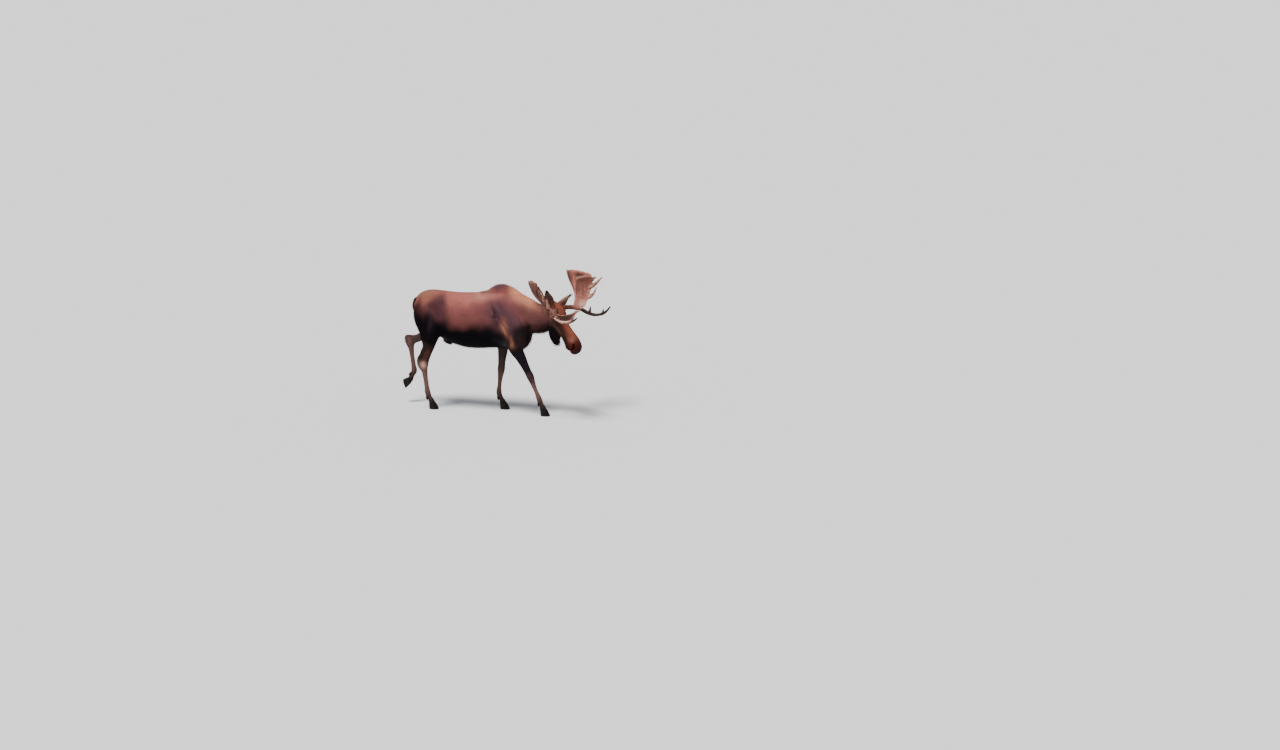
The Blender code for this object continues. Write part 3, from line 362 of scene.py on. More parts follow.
hindProfile = (
    (0, -0.1, -0.01, 0.095, 0.16, 0.085), (0, 0.15, 0, 0.08, 0.15, 0.08), (0, 0.42, 0, 0.07, 0.115, 0.064),
    (0, 0.72, 0, 0.06, 0.08, 0.05), (0, 0.95, 0, 0.066, 0.07, 0.046), (1, 0.06, 0, 0.063, 0.062, 0.047),
    (1, 0.2, 0, 0.047, 0.056, 0.041), (1, 0.38, 0, 0.037, 0.049, 0.035), (1, 0.62, 0, 0.035, 0.045, 0.033),
    (1, 0.85, 0, 0.037, 0.045, 0.035), (1, 0.97, 0, 0.042, 0.048, 0.042), (2, 0.1, 0, 0.04, 0.048, 0.043),
    (2, 0.5, 0, 0.035, 0.039, 0.038), (2, 0.92, 0, 0.046, 0.044, 0.05), (2, 1.08, 0, 0.048, 0.046, 0.054),
)


def kindOf(name):  # a leg's or an ear's name without its side
    return name.removesuffix("Left").removesuffix("Right")


def legJoints(name):
    # Joint after joint: each is the last one plus its bone's length along the bone's swing. A standing
    # foot is then set at its height by stretching the leg a little.
    leg = legs[name]
    joints = [Vector((leg["top"][0], leg["side"] * leg["spread"][0], leg["top"][1]))]
    for length, swing, y in zip(bones[kindOf(name)], leg["swings"], leg["ys"]):
        last, angle = joints[-1], math.radians(swing)
        place = (last.x + length * math.sin(angle), y * leg["side"], last.z - length * math.cos(angle))
        joints.append(Vector(place))
    if name != liftedLeg:
        lift = bones["coronetHeight"] - joints[-1].z
        for index, joint in enumerate(joints[1:], 1):
            joint.z += lift * (0.4 + 0.2 * index)
    return joints


def alongBones(joints, profile):  # loft rows at shares of the bones' lengths
    rows = []
    for bone, share, shift, front, back, half in profile:
        place = joints[bone].lerp(joints[bone + 1], share)
        rows.append((place.x + shift, place.y, place.z, front, back, half))
    return rows


def row(place, *sizes, by=(0, 0, 0)):  # a loft's row at a place, moved by a step
    return (*(place + Vector(by)), *sizes)


def forelegForms(name):
    # The leg's bones, the shoulder blade, the upper arm and the muscle behind it, each as one loft.
    leg, joints = legs[name], legJoints(name)
    side, elbow = leg["side"], joints[0]
    shoulder = Vector((leg["shoulder"][0], side * leg["spread"][1], leg["shoulder"][1]))
    blade = Vector((leg["blade"][0], side * 0.085, leg["blade"][1]))
    scapula = (
        row(blade, 0.11, 0.12, 0.04), row(blade.lerp(shoulder, 0.35), 0.13, 0.15, 0.066),
        row(blade.lerp(shoulder, 0.72), 0.12, 0.15, 0.078), row(shoulder, 0.085, 0.11, 0.08),
    )
    arm = (
        row(shoulder, 0.075, 0.12, 0.075, by=(-0.02, 0, 0.05)),
        row(shoulder.lerp(elbow, 0.45), 0.095, 0.135, 0.088),
        row(shoulder.lerp(elbow, 0.85), 0.09, 0.125, 0.085), row(elbow, 0.08, 0.1, 0.072, by=(0, 0, -0.06)),
    )
    triceps = (
        row(blade.lerp(shoulder, 0.55), 0.05, 0.14, 0.055),
        row(blade.lerp(elbow, 0.7), 0.1, 0.1, 0.06, by=(-0.06, side * 0.05, 0)),
        row(elbow, 0.06, 0.065, 0.055, by=(-0.06, side * 0.01, 0.06)),
        row(elbow, 0.035, 0.035, 0.035, by=(-0.065, 0, -0.01)),
    )
    limb = alongBones(joints, foreProfile)
    return [loft(limb, (1, 0, 0)), loft(scapula, (1, 0, 0)), loft(arm, (1, 0, 0.2)), loft(triceps, (1, 0, 0))]


def hindlegForms(name):
    # The leg's bones, the haunch, the ham and the heel cord, which stands off the bones behind the hock.
    leg, joints = legs[name], legJoints(name)
    side, (stifle, hock, fetlock) = leg["side"], joints[:3]
    hip = Vector((-1.05, side * leg["spread"][1], 1.43))
    haunch = (
        row(hip, 0.13, 0.18, 0.07, by=(0.05, -side * 0.05, 0.16)), row(hip, 0.17, 0.21, 0.098),
        row(hip.lerp(stifle, 0.5), 0.165, 0.195, 0.105), row(stifle.lerp(hip, 0.15), 0.1, 0.165, 0.095),
        row(stifle, 0.075, 0.13, 0.08, by=(-0.02, 0, -0.07)),
    )
    calf = stifle.lerp(hock, 0.4)
    ham = (
        (-1.24, side * 0.1, 1.48, 0.08, 0.075, 0.065), (-1.215, side * 0.15, 1.32, 0.1, 0.07, 0.085),
        row(Vector((-1.2, side * 0.17, 1.32)).lerp(calf, 0.55), 0.09, 0.065, 0.08, by=(-0.02, 0, 0)),
        row(calf, 0.06, 0.06, 0.052, by=(leg["ham"], 0, 0.03)),
    )
    cannonWay = (fetlock - hock).normalized()
    behind = ((hock - stifle).normalized() - cannonWay).normalized()
    heel = hock + behind * 0.085 - cannonWay * 0.03
    cord = (
        row(calf + behind * leg["cord"] * 0.75, 0.045, 0.045, 0.034),
        row(stifle.lerp(hock, 0.72) + behind * leg["cord"] * 0.92, 0.032, 0.026, 0.023),
        row(heel - cannonWay * 0.01, 0.028, 0.026, 0.025), row(heel + cannonWay * 0.045, 0.045, 0.028, 0.028),
        row(hock + cannonWay * 0.13, 0.04, 0.035, 0.026),
    )
    limb = alongBones(joints, hindProfile)
    fronts = ((limb, 0.25), (haunch, 0), (ham, 0.2), (cord, 0.2))
    return [loft(rows, (1, 0, upwards)) for rows, upwards in fronts]


# Head, ears, bell and tail
headShape = {  # along the face, above the bridge, below it, half width, narrowing above and below
    "skull": (
        (-0.075, -0.045, -0.165, 0.06, 1, 1), (0, 0.004, -0.2, 0.092, 0.9, 1),
        (0.08, 0.02, -0.212, 0.106, 0.85, 1), (0.17, 0.018, -0.205, 0.114, 0.85, 1),
        (0.25, 0.005, -0.19, 0.108, 0.85, 1.1), (0.35, -0.01, -0.172, 0.083, 0.9, 1.1),
        (0.45, -0.008, -0.165, 0.073, 0.9, 1), (0.55, 0.006, -0.175, 0.077, 0.9, 0.95),
        (0.64, 0.012, -0.195, 0.085, 0.9, 0.9), (0.72, -0.004, -0.212, 0.088, 0.9, 0.9),
        (0.765, -0.035, -0.205, 0.078, 0.9, 0.9), (0.795, -0.085, -0.165, 0.048, 1, 1),
    ),
    "jaw": (
        (0.06, -0.13, -0.235, 0.07), (0.14, -0.13, -0.268, 0.082), (0.23, -0.14, -0.272, 0.074),
        (0.36, -0.14, -0.248, 0.052), (0.48, -0.15, -0.232, 0.044), (0.58, -0.16, -0.238, 0.046),
        (0.66, -0.165, -0.246, 0.046), (0.695, -0.18, -0.232, 0.032),
    ),
}
browForms = {  # along the face, above its bridge, outwards, reach to front and back, half width
    "brow": ((0.105, -0.02, 0.07, 0.045, 0.045, 0.045), (0.19, -0.04, 0.094, 0.036, 0.034, 0.026),
        (0.27, -0.06, 0.09, 0.022, 0.024, 0.018)),
    "pedicle": ((0.1, -0.035, 0.05, 0.05, 0.05, 0.05), (0.105, -0.012, 0.115, 0.04, 0.04, 0.04)),
}


def headRows(rows):  # loft rows from heights above and below the bridge: each centre is halfway
    made = []
    for along, above, below, half, *narrow in rows:
        middle = (above + below) / 2
        made.append((*inHead(along, middle, 0), above - middle, middle - below, half, *narrow))
    return made


def sideRows(rows, side):  # rows placed in the head and out to one side
    return [(*inHead(along, above, side * out), *sizes) for along, above, out, *sizes in rows]


def headForms():
    forms = [loft(headRows(headShape[name]), browWay, along=noseWay) for name in ("skull", "jaw")]
    for side in sides.values():
        forms += [loft(sideRows(rows, side), browWay) for rows in browForms.values()]
    return forms


bellShape = (
    (0.755, -0.045, 1.305, 0.075, 0.08, 0.036), (0.768, -0.053, 1.235, 0.085, 0.082, 0.038),
    (0.79, -0.062, 1.165, 0.092, 0.082, 0.034), (0.815, -0.07, 1.11, 0.08, 0.068, 0.027),
    (0.835, -0.075, 1.075, 0.055, 0.05, 0.018), (0.845, -0.077, 1.052, 0.022, 0.022, 0.008),
)
tailShape = (
    (-1.25, 0, 1.6, 0.03, 0.03, 0.034), (-1.298, 0, 1.572, 0.024, 0.026, 0.038),
    (-1.326, 0, 1.52, 0.022, 0.022, 0.036), (-1.338, 0, 1.46, 0.017, 0.016, 0.027),
    (-1.34, 0, 1.41, 0.006, 0.006, 0.009),
)
earShape = {
    "length": 0.255, "halfWidth": 0.062, "wall": 0.008, "curl": 118, "rows": 24, "columns": 19,
    "ways": {"right": (-0.78, 0.5, 0.38), "left": (-0.12, 0.46, 0.86)},  # along, above, outwards
}


def earFrame(sideName):
    side = sides[sideName]
    along, above, out = earShape["ways"][sideName]
    root = inHead(0.025, -0.06, side * 0.088)
    way = (noseWay * along + browWay * above + leftWay * side * out).normalized()
    mouth = (heading * 0.8 + leftWay * side * 0.65 - way * 0.1).normalized()
    mouth = (mouth - way * mouth.dot(way)).normalized()
    return root, way, mouth, way.cross(mouth)


def earForm(sideName):
    # A leaf rolled into a cup: at each share of its length the wall is an arc whose half angle opens
    # towards the tip, with an outer and an inner sheet a wall's thickness apart, closed round its rim.
    root, way, mouth, across = earFrame(sideName)
    shares, turns = np.linspace(-0.1, 1.0, earShape["rows"]), np.linspace(-1, 1, earShape["columns"])
    past = np.clip(shares, 0, 1)
    leaf = np.sin(np.pi * np.clip(0.16 + 0.84 * shares, 0, 1)) ** 0.75
    halfWidth = earShape["halfWidth"] * np.clip(leaf, 0.03, 1) + 0.004
    curl = np.radians(earShape["curl"]) * (1 - 0.62 * past)
    bow = np.outer(0.02 * shares**2, -across * sides[sideName])
    centre = np.array(root) + np.outer(shares * earShape["length"], way) + bow
    radius = halfWidth / np.sin(np.minimum(curl, math.pi / 2))
    angle = curl[:, None] * turns
    wall = earShape["wall"] * (1 - 0.3 * np.abs(turns)[None, :] ** 3) * (1.15 - 0.5 * past)[:, None]
    sheets = []
    for sign in (1, -1):
        reach = radius[:, None] + sign * wall
        sideStep = np.array(across) * (reach * np.sin(angle))[..., None]
        depth = np.array(mouth) * (radius[:, None] * 0.62 - reach * np.cos(angle))[..., None]
        sheets.append((centre[:, None] + sideStep + depth).reshape(-1, 3))
    return np.concatenate(sheets), sheetFaces(len(shares), len(turns))


def sheetFaces(rows, columns):
    # Faces of two like grids, one behind the other, closed by a band round their border.
    low, faces = rows * columns, gridFaces(rows, columns, columnsMeet=False)
    front, back = faces[:, [0, 3, 2, 1]], faces[:, [1, 2, 3, 0]] + low
    border = (
        [(0, j) for j in range(columns)] + [(i, columns - 1) for i in range(1, rows)]
        + [(rows - 1, j) for j in range(columns - 2, -1, -1)] + [(i, 0) for i in range(rows - 2, 0, -1)]
    )
    ring = np.array([i * columns + j for i, j in border])
    after = np.roll(ring, -1)
    band = np.stack([ring, after, after + low, ring + low], -1)
    return front.tolist() + back.tolist() + band.tolist()


# Which limb a place belongs to
limbRadii = {"fore": (0.115, 0.11, 0.06, 0.048, 0.055), "hind": (0.22, 0.16, 0.065, 0.048, 0.055)}


def limbLines():
    # The middle line of each limb as rows of x, y, z and the limb's radius there.
    lines = {
        "trunk": ((-1.27, 0, 1.47, 0.1), (-1.1, 0, 1.42, 0.25), (-0.5, 0, 1.33, 0.36), (0.1, 0, 1.36, 0.38),
            (0.34, 0, 1.38, 0.27)),
        "neck": ((0.4, 0, 1.44, 0.24), (0.55, -0.01, 1.44, 0.22), (0.7, -0.03, 1.49, 0.17)),
        "head": sideRows(((0.0, -0.09, 0, 0.13), (0.15, -0.11, 0, 0.16), (0.45, -0.1, 0, 0.11),
            (0.73, -0.11, 0, 0.11)), 1),
        "bell": ((0.765, -0.05, 1.235, 0.075), (0.79, -0.062, 1.165, 0.08), (0.84, -0.077, 1.06, 0.05)),
        "tail": ((-1.305, 0, 1.58, 0.045), (-1.338, 0, 1.5, 0.042), (-1.346, 0, 1.405, 0.034)),
    }
    for sideName in sides:
        root, way, _, _ = earFrame(sideName)
        places = ((0.05, 0.055), (0.15, 0.075), (0.25, 0.05))
        lines["ear" + sideName.capitalize()] = [(*(root + way * up), radius) for up, radius in places]
    for name, leg in legs.items():
        x, out, z = leg["root"]
        places = [Vector((x, leg["side"] * out, z)), *legJoints(name)]
        lines[name] = [(*place, radius) for place, radius in zip(places, limbRadii[kindOf(name)])]
    return {name: np.array(rows, float) for name, rows in lines.items()}


limbs = limbLines()
limbNames = list(limbs)


def limbPlaces(points):
    # For every point and limb: distance over the limb's radius, and distance along it.
    found = [lineFoot(points, rows[:, :3], rows[:, 3])[:2] for rows in limbs.values()]
    return [np.stack(measure, -1) for measure in zip(*found)]


def limbShares(nearness):
    # How much each limb claims a point: 1 / nearness^9, scaled so that the claims add up to 1.
    claim = 1 / np.maximum(nearness, 0.15) ** 9
    return claim / claim.sum(1, keepdims=True)


# The coat's depth and lie
coatDepths = {"trunk": 0.01, "neck": 0.01, "head": 0.0035, "bell": 0.012, "tail": 0.007, "ear": 0.0012,
        "fore": 0.006, "hind": 0.006, "foot": 0.003, "crest": 0.012}
coatWays = {  # how the hair runs: back along the body, up the face from the nose, down the legs
    "trunk": (-0.86, 0, -0.42), "neck": (-0.7, 0, -0.62), "bell": (-0.1, 0, -1), "tail": (-0.1, 0, -1),
    "fore": (-0.15, 0, -1), "hind": (-0.3, 0, -0.95),
}


def perLimb(values):  # one row for each limb, looked up by its kind
    return np.array([values[kindOf(name)] for name in limbNames], float)


def sharesByName(shares):
    return {name: shares[:, index] for index, name in enumerate(limbNames)}


def crestShare(points):  # 1 along the top of the hump and the neck's crest
    x, y, z = points.T
    onLine = falloff(y + 0.02 * smooth(0.4, 0.7, x), 0.05)
    ridge = np.interp(x, (-0.3, 0.0, 0.3, 0.7), (1.66, 1.74, 1.6, 1.48))
    return smooth(-0.34, -0.2, x) * smooth(0.72, 0.55, x) * onLine * smooth(0, 0.1, z - ridge)


def coatDepth(points, shares):  # the limbs' depths mixed by their shares, less at the feet, more on the crest
    depth = shares @ perLimb(coatDepths)
    depth = depth + (coatDepths["foot"] - depth) * smooth(0.75, 0.45, points[:, 2])
    return depth + coatDepths["crest"] * crestShare(points)


# The skin
skinLook = {
    "bodyVoxel": 0.012, "voxel": 0.0055, "triangles": 186000,
    "eyeReach": 0.052, "nostrilReach": 0.055, "mouthReach": 0.022,
}
bodyMuscles = (  # side (0 is both), height, width, line in x and z along the flank
    (-1, -0.012, 0.03, ((-0.1, 1.53), (0.02, 1.38), (0.12, 1.2), (0.17, 1.06))),  # behind the triceps
    (1, -0.012, 0.03, ((-0.17, 1.5), (-0.15, 1.3), (-0.13, 1.1))),
    (-1, 0.008, 0.045, ((-0.02, 1.69), (0.16, 1.45), (0.31, 1.24))),  # spine of the shoulder blade
    (1, 0.008, 0.045, ((-0.06, 1.69), (0.08, 1.45), (0.2, 1.24))),
    (0, -0.008, 0.035, ((0.1, 1.72), (0.28, 1.52), (0.4, 1.28))),  # before the shoulder
    (0, -0.005, 0.025, ((-0.05, 1.62), (0.05, 1.45), (0.14, 1.3))),  # between the blade's two muscles
    (0, -0.006, 0.028, ((0.64, 1.29), (0.52, 1.24), (0.42, 1.16))),  # groove of the jugular vein
    (0, -0.005, 0.03, ((0.62, 1.5), (0.46, 1.42), (0.36, 1.3))),
    (0, -0.014, 0.075, ((-0.74, 1.58), (-0.71, 1.5))),  # hollow of the flank
    (0, 0.011, 0.05, ((-0.91, 1.63), (-0.87, 1.61))),  # hip bone
    (0, -0.009, 0.026, ((-1.18, 1.5), (-1.16, 1.3), (-1.11, 1.08))),  # between the hams
    (0, -0.006, 0.03, ((-1.02, 1.52), (-0.98, 1.36), (-0.96, 1.22))),
    (0, -0.007, 0.035, ((-0.86, 1.46), (-0.84, 1.3), (-0.8, 1.18))),  # before the thigh
    (0, 0.008, 0.026, ((-0.84, 1.2), (-0.79, 1.08))),  # fold of the stifle
    (0, -0.006, 0.014, ((0.715, 1.6), (0.745, 1.47), (0.725, 1.34))),  # folds behind the jaw
    (0, -0.005, 0.014, ((0.655, 1.6), (0.68, 1.45), (0.665, 1.31))),
) + tuple(
    (0, -0.0025, 0.016, ((-0.64 + 0.075 * rib, 1.56), (-0.68 + 0.075 * rib, 1.36), (-0.7 + 0.08 * rib, 1.12)))
    for rib in range(7)
)
mouthLine = ((0.5, -0.196), (0.6, -0.207), (0.68, -0.216), (0.725, -0.214))
faceMuscles = (  # height, width, line along the face and above its bridge
    (-0.008, 0.0075, mouthLine),
    (0.004, 0.012, ((0.56, -0.188), (0.66, -0.196), (0.73, -0.194))),  # upper lip
    (0.005, 0.018, ((0.27, -0.122), (0.38, -0.126), (0.47, -0.122))),  # crest of the cheek
    (-0.006, 0.02, ((0.245, -0.165), (0.27, -0.215), (0.265, -0.265))),  # before the chewing muscle
    (0.006, 0.05, ((0.14, -0.17), (0.16, -0.2))),
    (-0.007, 0.026, ((0.33, -0.05), (0.46, -0.072), (0.57, -0.08))),  # beside the bridge of the nose
    (-0.006, 0.012, ((0.245, -0.112), (0.275, -0.128), (0.32, -0.142))),  # tear groove
    (0.009, 0.024, ((0.64, -0.085), (0.685, -0.115))),  # wing of the nostril
    (-0.004, 0.01, ((0.6, -0.15), (0.66, -0.165), (0.72, -0.15))),
)
nostril = {"line": ((0.668, -0.058), (0.7, -0.07), (0.716, -0.098), (0.704, -0.122)), "out": 0.075,
        "depth": 0.03, "width": 0.0105}


def buildSkin():
    # The body's forms are fused and softened, the thin forms are added, and the whole is fused again.
    forms = trunkForms() + headForms()
    for name in legs:
        forms += forelegForms(name) if kindOf(name) == "fore" else hindlegForms(name)
    skin = meshObject("skin", *joined(forms))
    fuse(skin, skinLook["bodyVoxel"])
    points = pointsOf(skin)
    onHead = smooth(0.05, 0.2, headPlaces(points)[:, 0]) * (points[:, 0] > 0.6)
    onLeg = smooth(0.98, 0.83, points[:, 2]) * (points[:, 0] < 0.8)
    relax(skin, 0.5 * (1 - 0.88 * np.maximum(onHead, onLeg)), 26)
    relax(skin, 0.4, 2)
    modify(skin, "SUBSURF", levels=1, render_levels=1)
    thinForms = [loft(bellShape, (1, -0.2, 0)), loft(tailShape, (-1, 0, 0.3))]
    extra = meshObject("added", *joined(thinForms + [earForm(sideName) for sideName in sides]))
    whole = bmesh.new()
    whole.from_mesh(skin.data)
    whole.from_mesh(extra.data)
    whole.to_mesh(skin.data)
    whole.free()
    bpy.data.objects.remove(extra)
    fuse(skin, skinLook["voxel"])
    relax(skin, 0.5, 3)
    trimCoronets(skin)
    modify(skin, "DECIMATE", ratio=min(1, skinLook["triangles"] / (2 * len(skin.data.polygons))))
    refine(skin)
    shapeSkin(skin)
    skin.data.shade_smooth()
    return skin


def pastCoronet(points, name):  # how far each point is past a coronet along the foot, and from it
    coronet, _, sole = footFrame(name)
    return (points - coronet) @ sole, gapTo(points, coronet)


def trimCoronets(skin):
    # Flattens the skin above each hoof: nothing reaches past the coronet along the foot's sole way.
    points = pointsOf(skin)
    for name in legs:
        past, gap = pastCoronet(points, name)
        excess = np.where(gap < clawShape["near"], np.maximum(past + 0.0006, 0), 0)
        points -= np.outer(excess, footFrame(name)[2])
    setPoints(skin, points)


def refine(skin):
    # Halves the edges round the eyes, nostrils and mouth, where the forms are small.
    shape = bmesh.new()
    shape.from_mesh(skin.data)
    bmesh.ops.triangulate(shape, faces=[face for face in shape.faces if len(face.verts) > 3])
    shape.verts.ensure_lookup_table()
    places = headPlaces(np.array([vert.co for vert in shape.verts]))
    folded = np.stack([places[:, 0], places[:, 1], np.abs(places[:, 2])], -1)
    near = gapTo(folded, eyeLook["place"]) < skinLook["eyeReach"]
    near |= gapTo(folded, (*nostril["line"][1], nostril["out"])) < skinLook["nostrilReach"]
    near |= (lineGap(places[:, :2], mouthLine) < skinLook["mouthReach"]) & (places[:, 0] > 0.45)
    edges = [edge for edge in shape.edges if near[edge.verts[0].index] and near[edge.verts[1].index]]
    bmesh.ops.subdivide_edges(shape, edges=edges, cuts=1, use_grid_fill=True)
    bmesh.ops.triangulate(shape, faces=[face for face in shape.faces if len(face.verts) > 4])
    shape.to_mesh(skin.data)
    shape.free()


def shapeSkin(skin):
    # The skin lies under the forms by the coat's depth, with muscles, tendons, nostrils and lids in it.
    points, normals = pointsOf(skin), normalsOf(skin)
    shares = limbShares(limbPlaces(points)[0])
    share = sharesByName(shares)
    head = headPlaces(points)
    onHead = share["head"] * smooth(0.02, 0.1, head[:, 0])
    onBody = np.clip(1 - share["head"] - share["bell"] - share["earLeft"] - share["earRight"], 0, 1)
    rise = -coatDepth(points, shares)
    facingOut = smooth(0.15, 0.5, np.abs(normals[:, 1]))
    for side, height, width, line in bodyMuscles:
        here = facingOut if side == 0 else facingOut * (np.sign(points[:, 1]) == side)
        ridge = strokes(points[:, [0, 2]], [(height, width, line)])
        rise += ridge * here * onBody * smooth(0.9, 1.0, points[:, 2])
    rise += strokes(head[:, :2], faceMuscles) * smooth(0.15, 0.5, np.abs(normals @ headAxes[2])) * onHead
    rise += legRelief(points, normals, share)
    setPoints(skin, wrapEyes(carveNostrils(points + normals * rise[:, None], head)))


def legRelief(points, normals, share):
    # Tendon grooves beside the cannon bones, and the bumps of knee, hock and fetlock, along each leg's bones.
    rise = np.zeros(len(points))
    side = smooth(0.25, 0.6, np.abs(normals[:, 1]))
    for name in legs:
        top, joint, fetlock = legJoints(name)[:3]
        for start, end, back, height, width in (
            (top.lerp(joint, 0.35), joint.lerp(top, 0.1), 0.012, -0.005, 0.014),
            (joint.lerp(fetlock, 0.15), fetlock.lerp(joint, 0.08), 0.016, -0.0045, 0.009),
            (joint.lerp(fetlock, 0.1), fetlock.lerp(joint, 0.1), -0.02, -0.002, 0.01),
        ):
            shift = Vector((-back, 0, 0))
            line = ((start + shift).xz, (end + shift).xz)
            rise += strokes(points[:, [0, 2]], [(height, width, line)]) * share[name] * side
        for place, height, width in ((joint, 0.004, 0.035), (fetlock, 0.003, 0.028)):
            rise += height * falloff(np.maximum(gapTo(points, place) - 0.045, 0), width) * share[name] * 0.6
    return rise


def carveNostrils(points, head):
    # A comma-shaped slit on each side of the muzzle, pressed in along the head's left way.
    gap, along, _ = lineFoot(head[:, :2], nostril["line"])
    width = nostril["width"] * (1 - 0.35 * smooth(0.02, 0.09, along))
    for side in sides.values():
        here = (head[:, 2] * side > 0.025) * smooth(0.6, 0.64, head[:, 0])
        press = nostril["depth"] * np.exp(-((gap / width) ** 4)) * here
        lip = 0.004 * falloff(gap - 1.7 * width, 0.006) * here
        points = points + np.outer((lip - press) * side, headAxes[2]) - np.outer(press * 0.5, headAxes[0])
    return points


lidShape = {"halfLength": 0.02, "upper": 0.0125, "lower": 0.0085, "tilt": 22, "thick": 0.002, "tuck": 0.005}


def gazeFrame(side):
    # The eye's own ways: out of the socket, towards the nose along the lid line, and up.
    out = (leftWay * side * 0.93 + noseWay * 0.16 + browWay * 0.3).normalized()
    tilt = math.radians(lidShape["tilt"])
    front = noseWay * math.cos(tilt) + browWay * math.sin(tilt)
    front = (front - out * front.dot(out)).normalized()
    up = out.cross(front) * side
    if up.dot(browWay) < 0:
        up = -up
    return np.array(out), np.array(front), np.array(up)


def lidEdge(front):  # how high the opening reaches above and below the lid line, at each place along it
    share = np.clip(1 - (front / lidShape["halfLength"]) ** 2, 0, 1)
    return lidShape["upper"] * share**0.65, lidShape["lower"] * share**0.8


def wrapEyes(points):
    # Skin near an eye is laid over the eyeball as lids, and tucked behind it inside the almond opening.
    lid, tuck = eyeLook["radius"] + lidShape["thick"], eyeLook["radius"] - lidShape["tuck"]
    for side in sides.values():
        out, front, up = gazeFrame(side)
        offset = points - eyePlace(side)
        distance = lengthOf(offset)
        forward, ahead, above = offset @ out, offset @ front, offset @ up
        upper, lower = lidEdge(ahead)
        inside = np.where(above > 0, above - upper, -above - lower)
        inside = np.maximum(inside, np.abs(ahead) - lidShape["halfLength"])
        target = tuck + (lid - tuck) * smooth(-0.0042, -0.0012, inside)
        reach = smooth(0.046, 0.026, distance) * (forward > -0.01)
        over = np.where(distance < target, 1.0, smooth(0.006, 0.0, distance - target))
        blend = reach * over * smooth(-0.01, -0.002, forward)
        blend = np.where((inside < 0.0) & (forward > 0), reach, blend)
        wanted = np.array(eyePlace(side)) + offset / np.maximum(distance, 1e-6)[:, None] * target[:, None]
        points = points + (wanted - points) * blend[:, None]
    return points


# Hooves
clawShape = {"length": 0.135, "width": 0.052, "liftedToe": 18, "around": 40, "rings": 22, "near": 0.12}

dewclawShape = (  # down the foot, backwards, reach to front and back, half width
    (-0.016, -0.012, 0.008, 0.01, 0.008), (0, 0, 0.014, 0.015, 0.013), (0.02, 0.004, 0.0145, 0.0145, 0.0135),
    (0.038, 0.009, 0.011, 0.011, 0.011), (0.049, 0.012, 0.004, 0.004, 0.004),
)


def footFrame(name):
    # The coronet, the way to the toe and the way down to the sole.
    toe, sole = Vector((1, 0, 0)), Vector((0, 0, -1))
    if name == liftedLeg:
        hang = math.radians(clawShape["liftedToe"])
        ahead, down = math.sin(hang), math.cos(hang)
        toe, sole = Vector((ahead, 0, -down)), Vector((-down, 0, -ahead))
    return legJoints(name)[-1], toe, sole


def clawForm(name, sign):
    # Ovals stacked from the coronet to the sole: they lengthen towards the toe, their outer side narrows
    # there with cos^3, and fine growth rings swell them by a fraction of a millimetre.
    coronet, toe, sole = footFrame(name)
    share = np.linspace(0, 1, clawShape["rings"])[:, None]
    angle = np.linspace(0, 2 * math.pi, clawShape["around"], endpoint=False)[None, :]
    edge = 0.0035 * (smooth(0, 0.06, share[:, 0]) + smooth(1, 0.97, share[:, 0]) - 2)[:, None]
    rings = 0.0006 * np.sin(share * 55) * smooth(0.02, 0.1, share) * smooth(1, 0.85, share) + edge
    halfLength = 0.046 + (clawShape["length"] / 2 - 0.046) * share + rings
    width = clawShape["width"] * (0.86 + 0.14 * share) + rings * 2
    point = np.clip(np.cos(angle), 0, 1) ** 3
    heel = np.clip(-np.cos(angle), 0, 1) ** 2 * 0.1
    out = width * (0.5 + 0.5 * np.sin(angle)) * (1 - 0.5 * point - heel) + 0.0025 + 0.004 * point - rings
    ahead = 0.004 + 0.03 * share + 0.0 * angle + halfLength * np.cos(angle)
    drop = bones["coronetHeight"] * share + 0.0 * angle
    ways = (drop, sole), (ahead, toe), (sign * out, (0, 1, 0))
    places = sum((reach[..., None] * np.array(way) for reach, way in ways), np.array(coronet))
    points = np.concatenate([places.reshape(-1, 3), places[[0, -1]].mean(1)])
    return points, tubeFaces(clawShape["rings"], clawShape["around"])


def dewclawForm(name, sign):  # a small claw behind the pastern, along it
    fetlock, coronet = legJoints(name)[-2:]
    way = (coronet - fetlock).normalized()
    behind = Vector((way.z, 0, -way.x))
    root = fetlock.lerp(coronet, 0.3) + behind * 0.032 + Vector((0, sign * 0.024, 0))
    rows = [row(root + way * down + behind * back, *sizes) for down, back, *sizes in dewclawShape]
    return loft(rows, behind, rings=12, around=16)


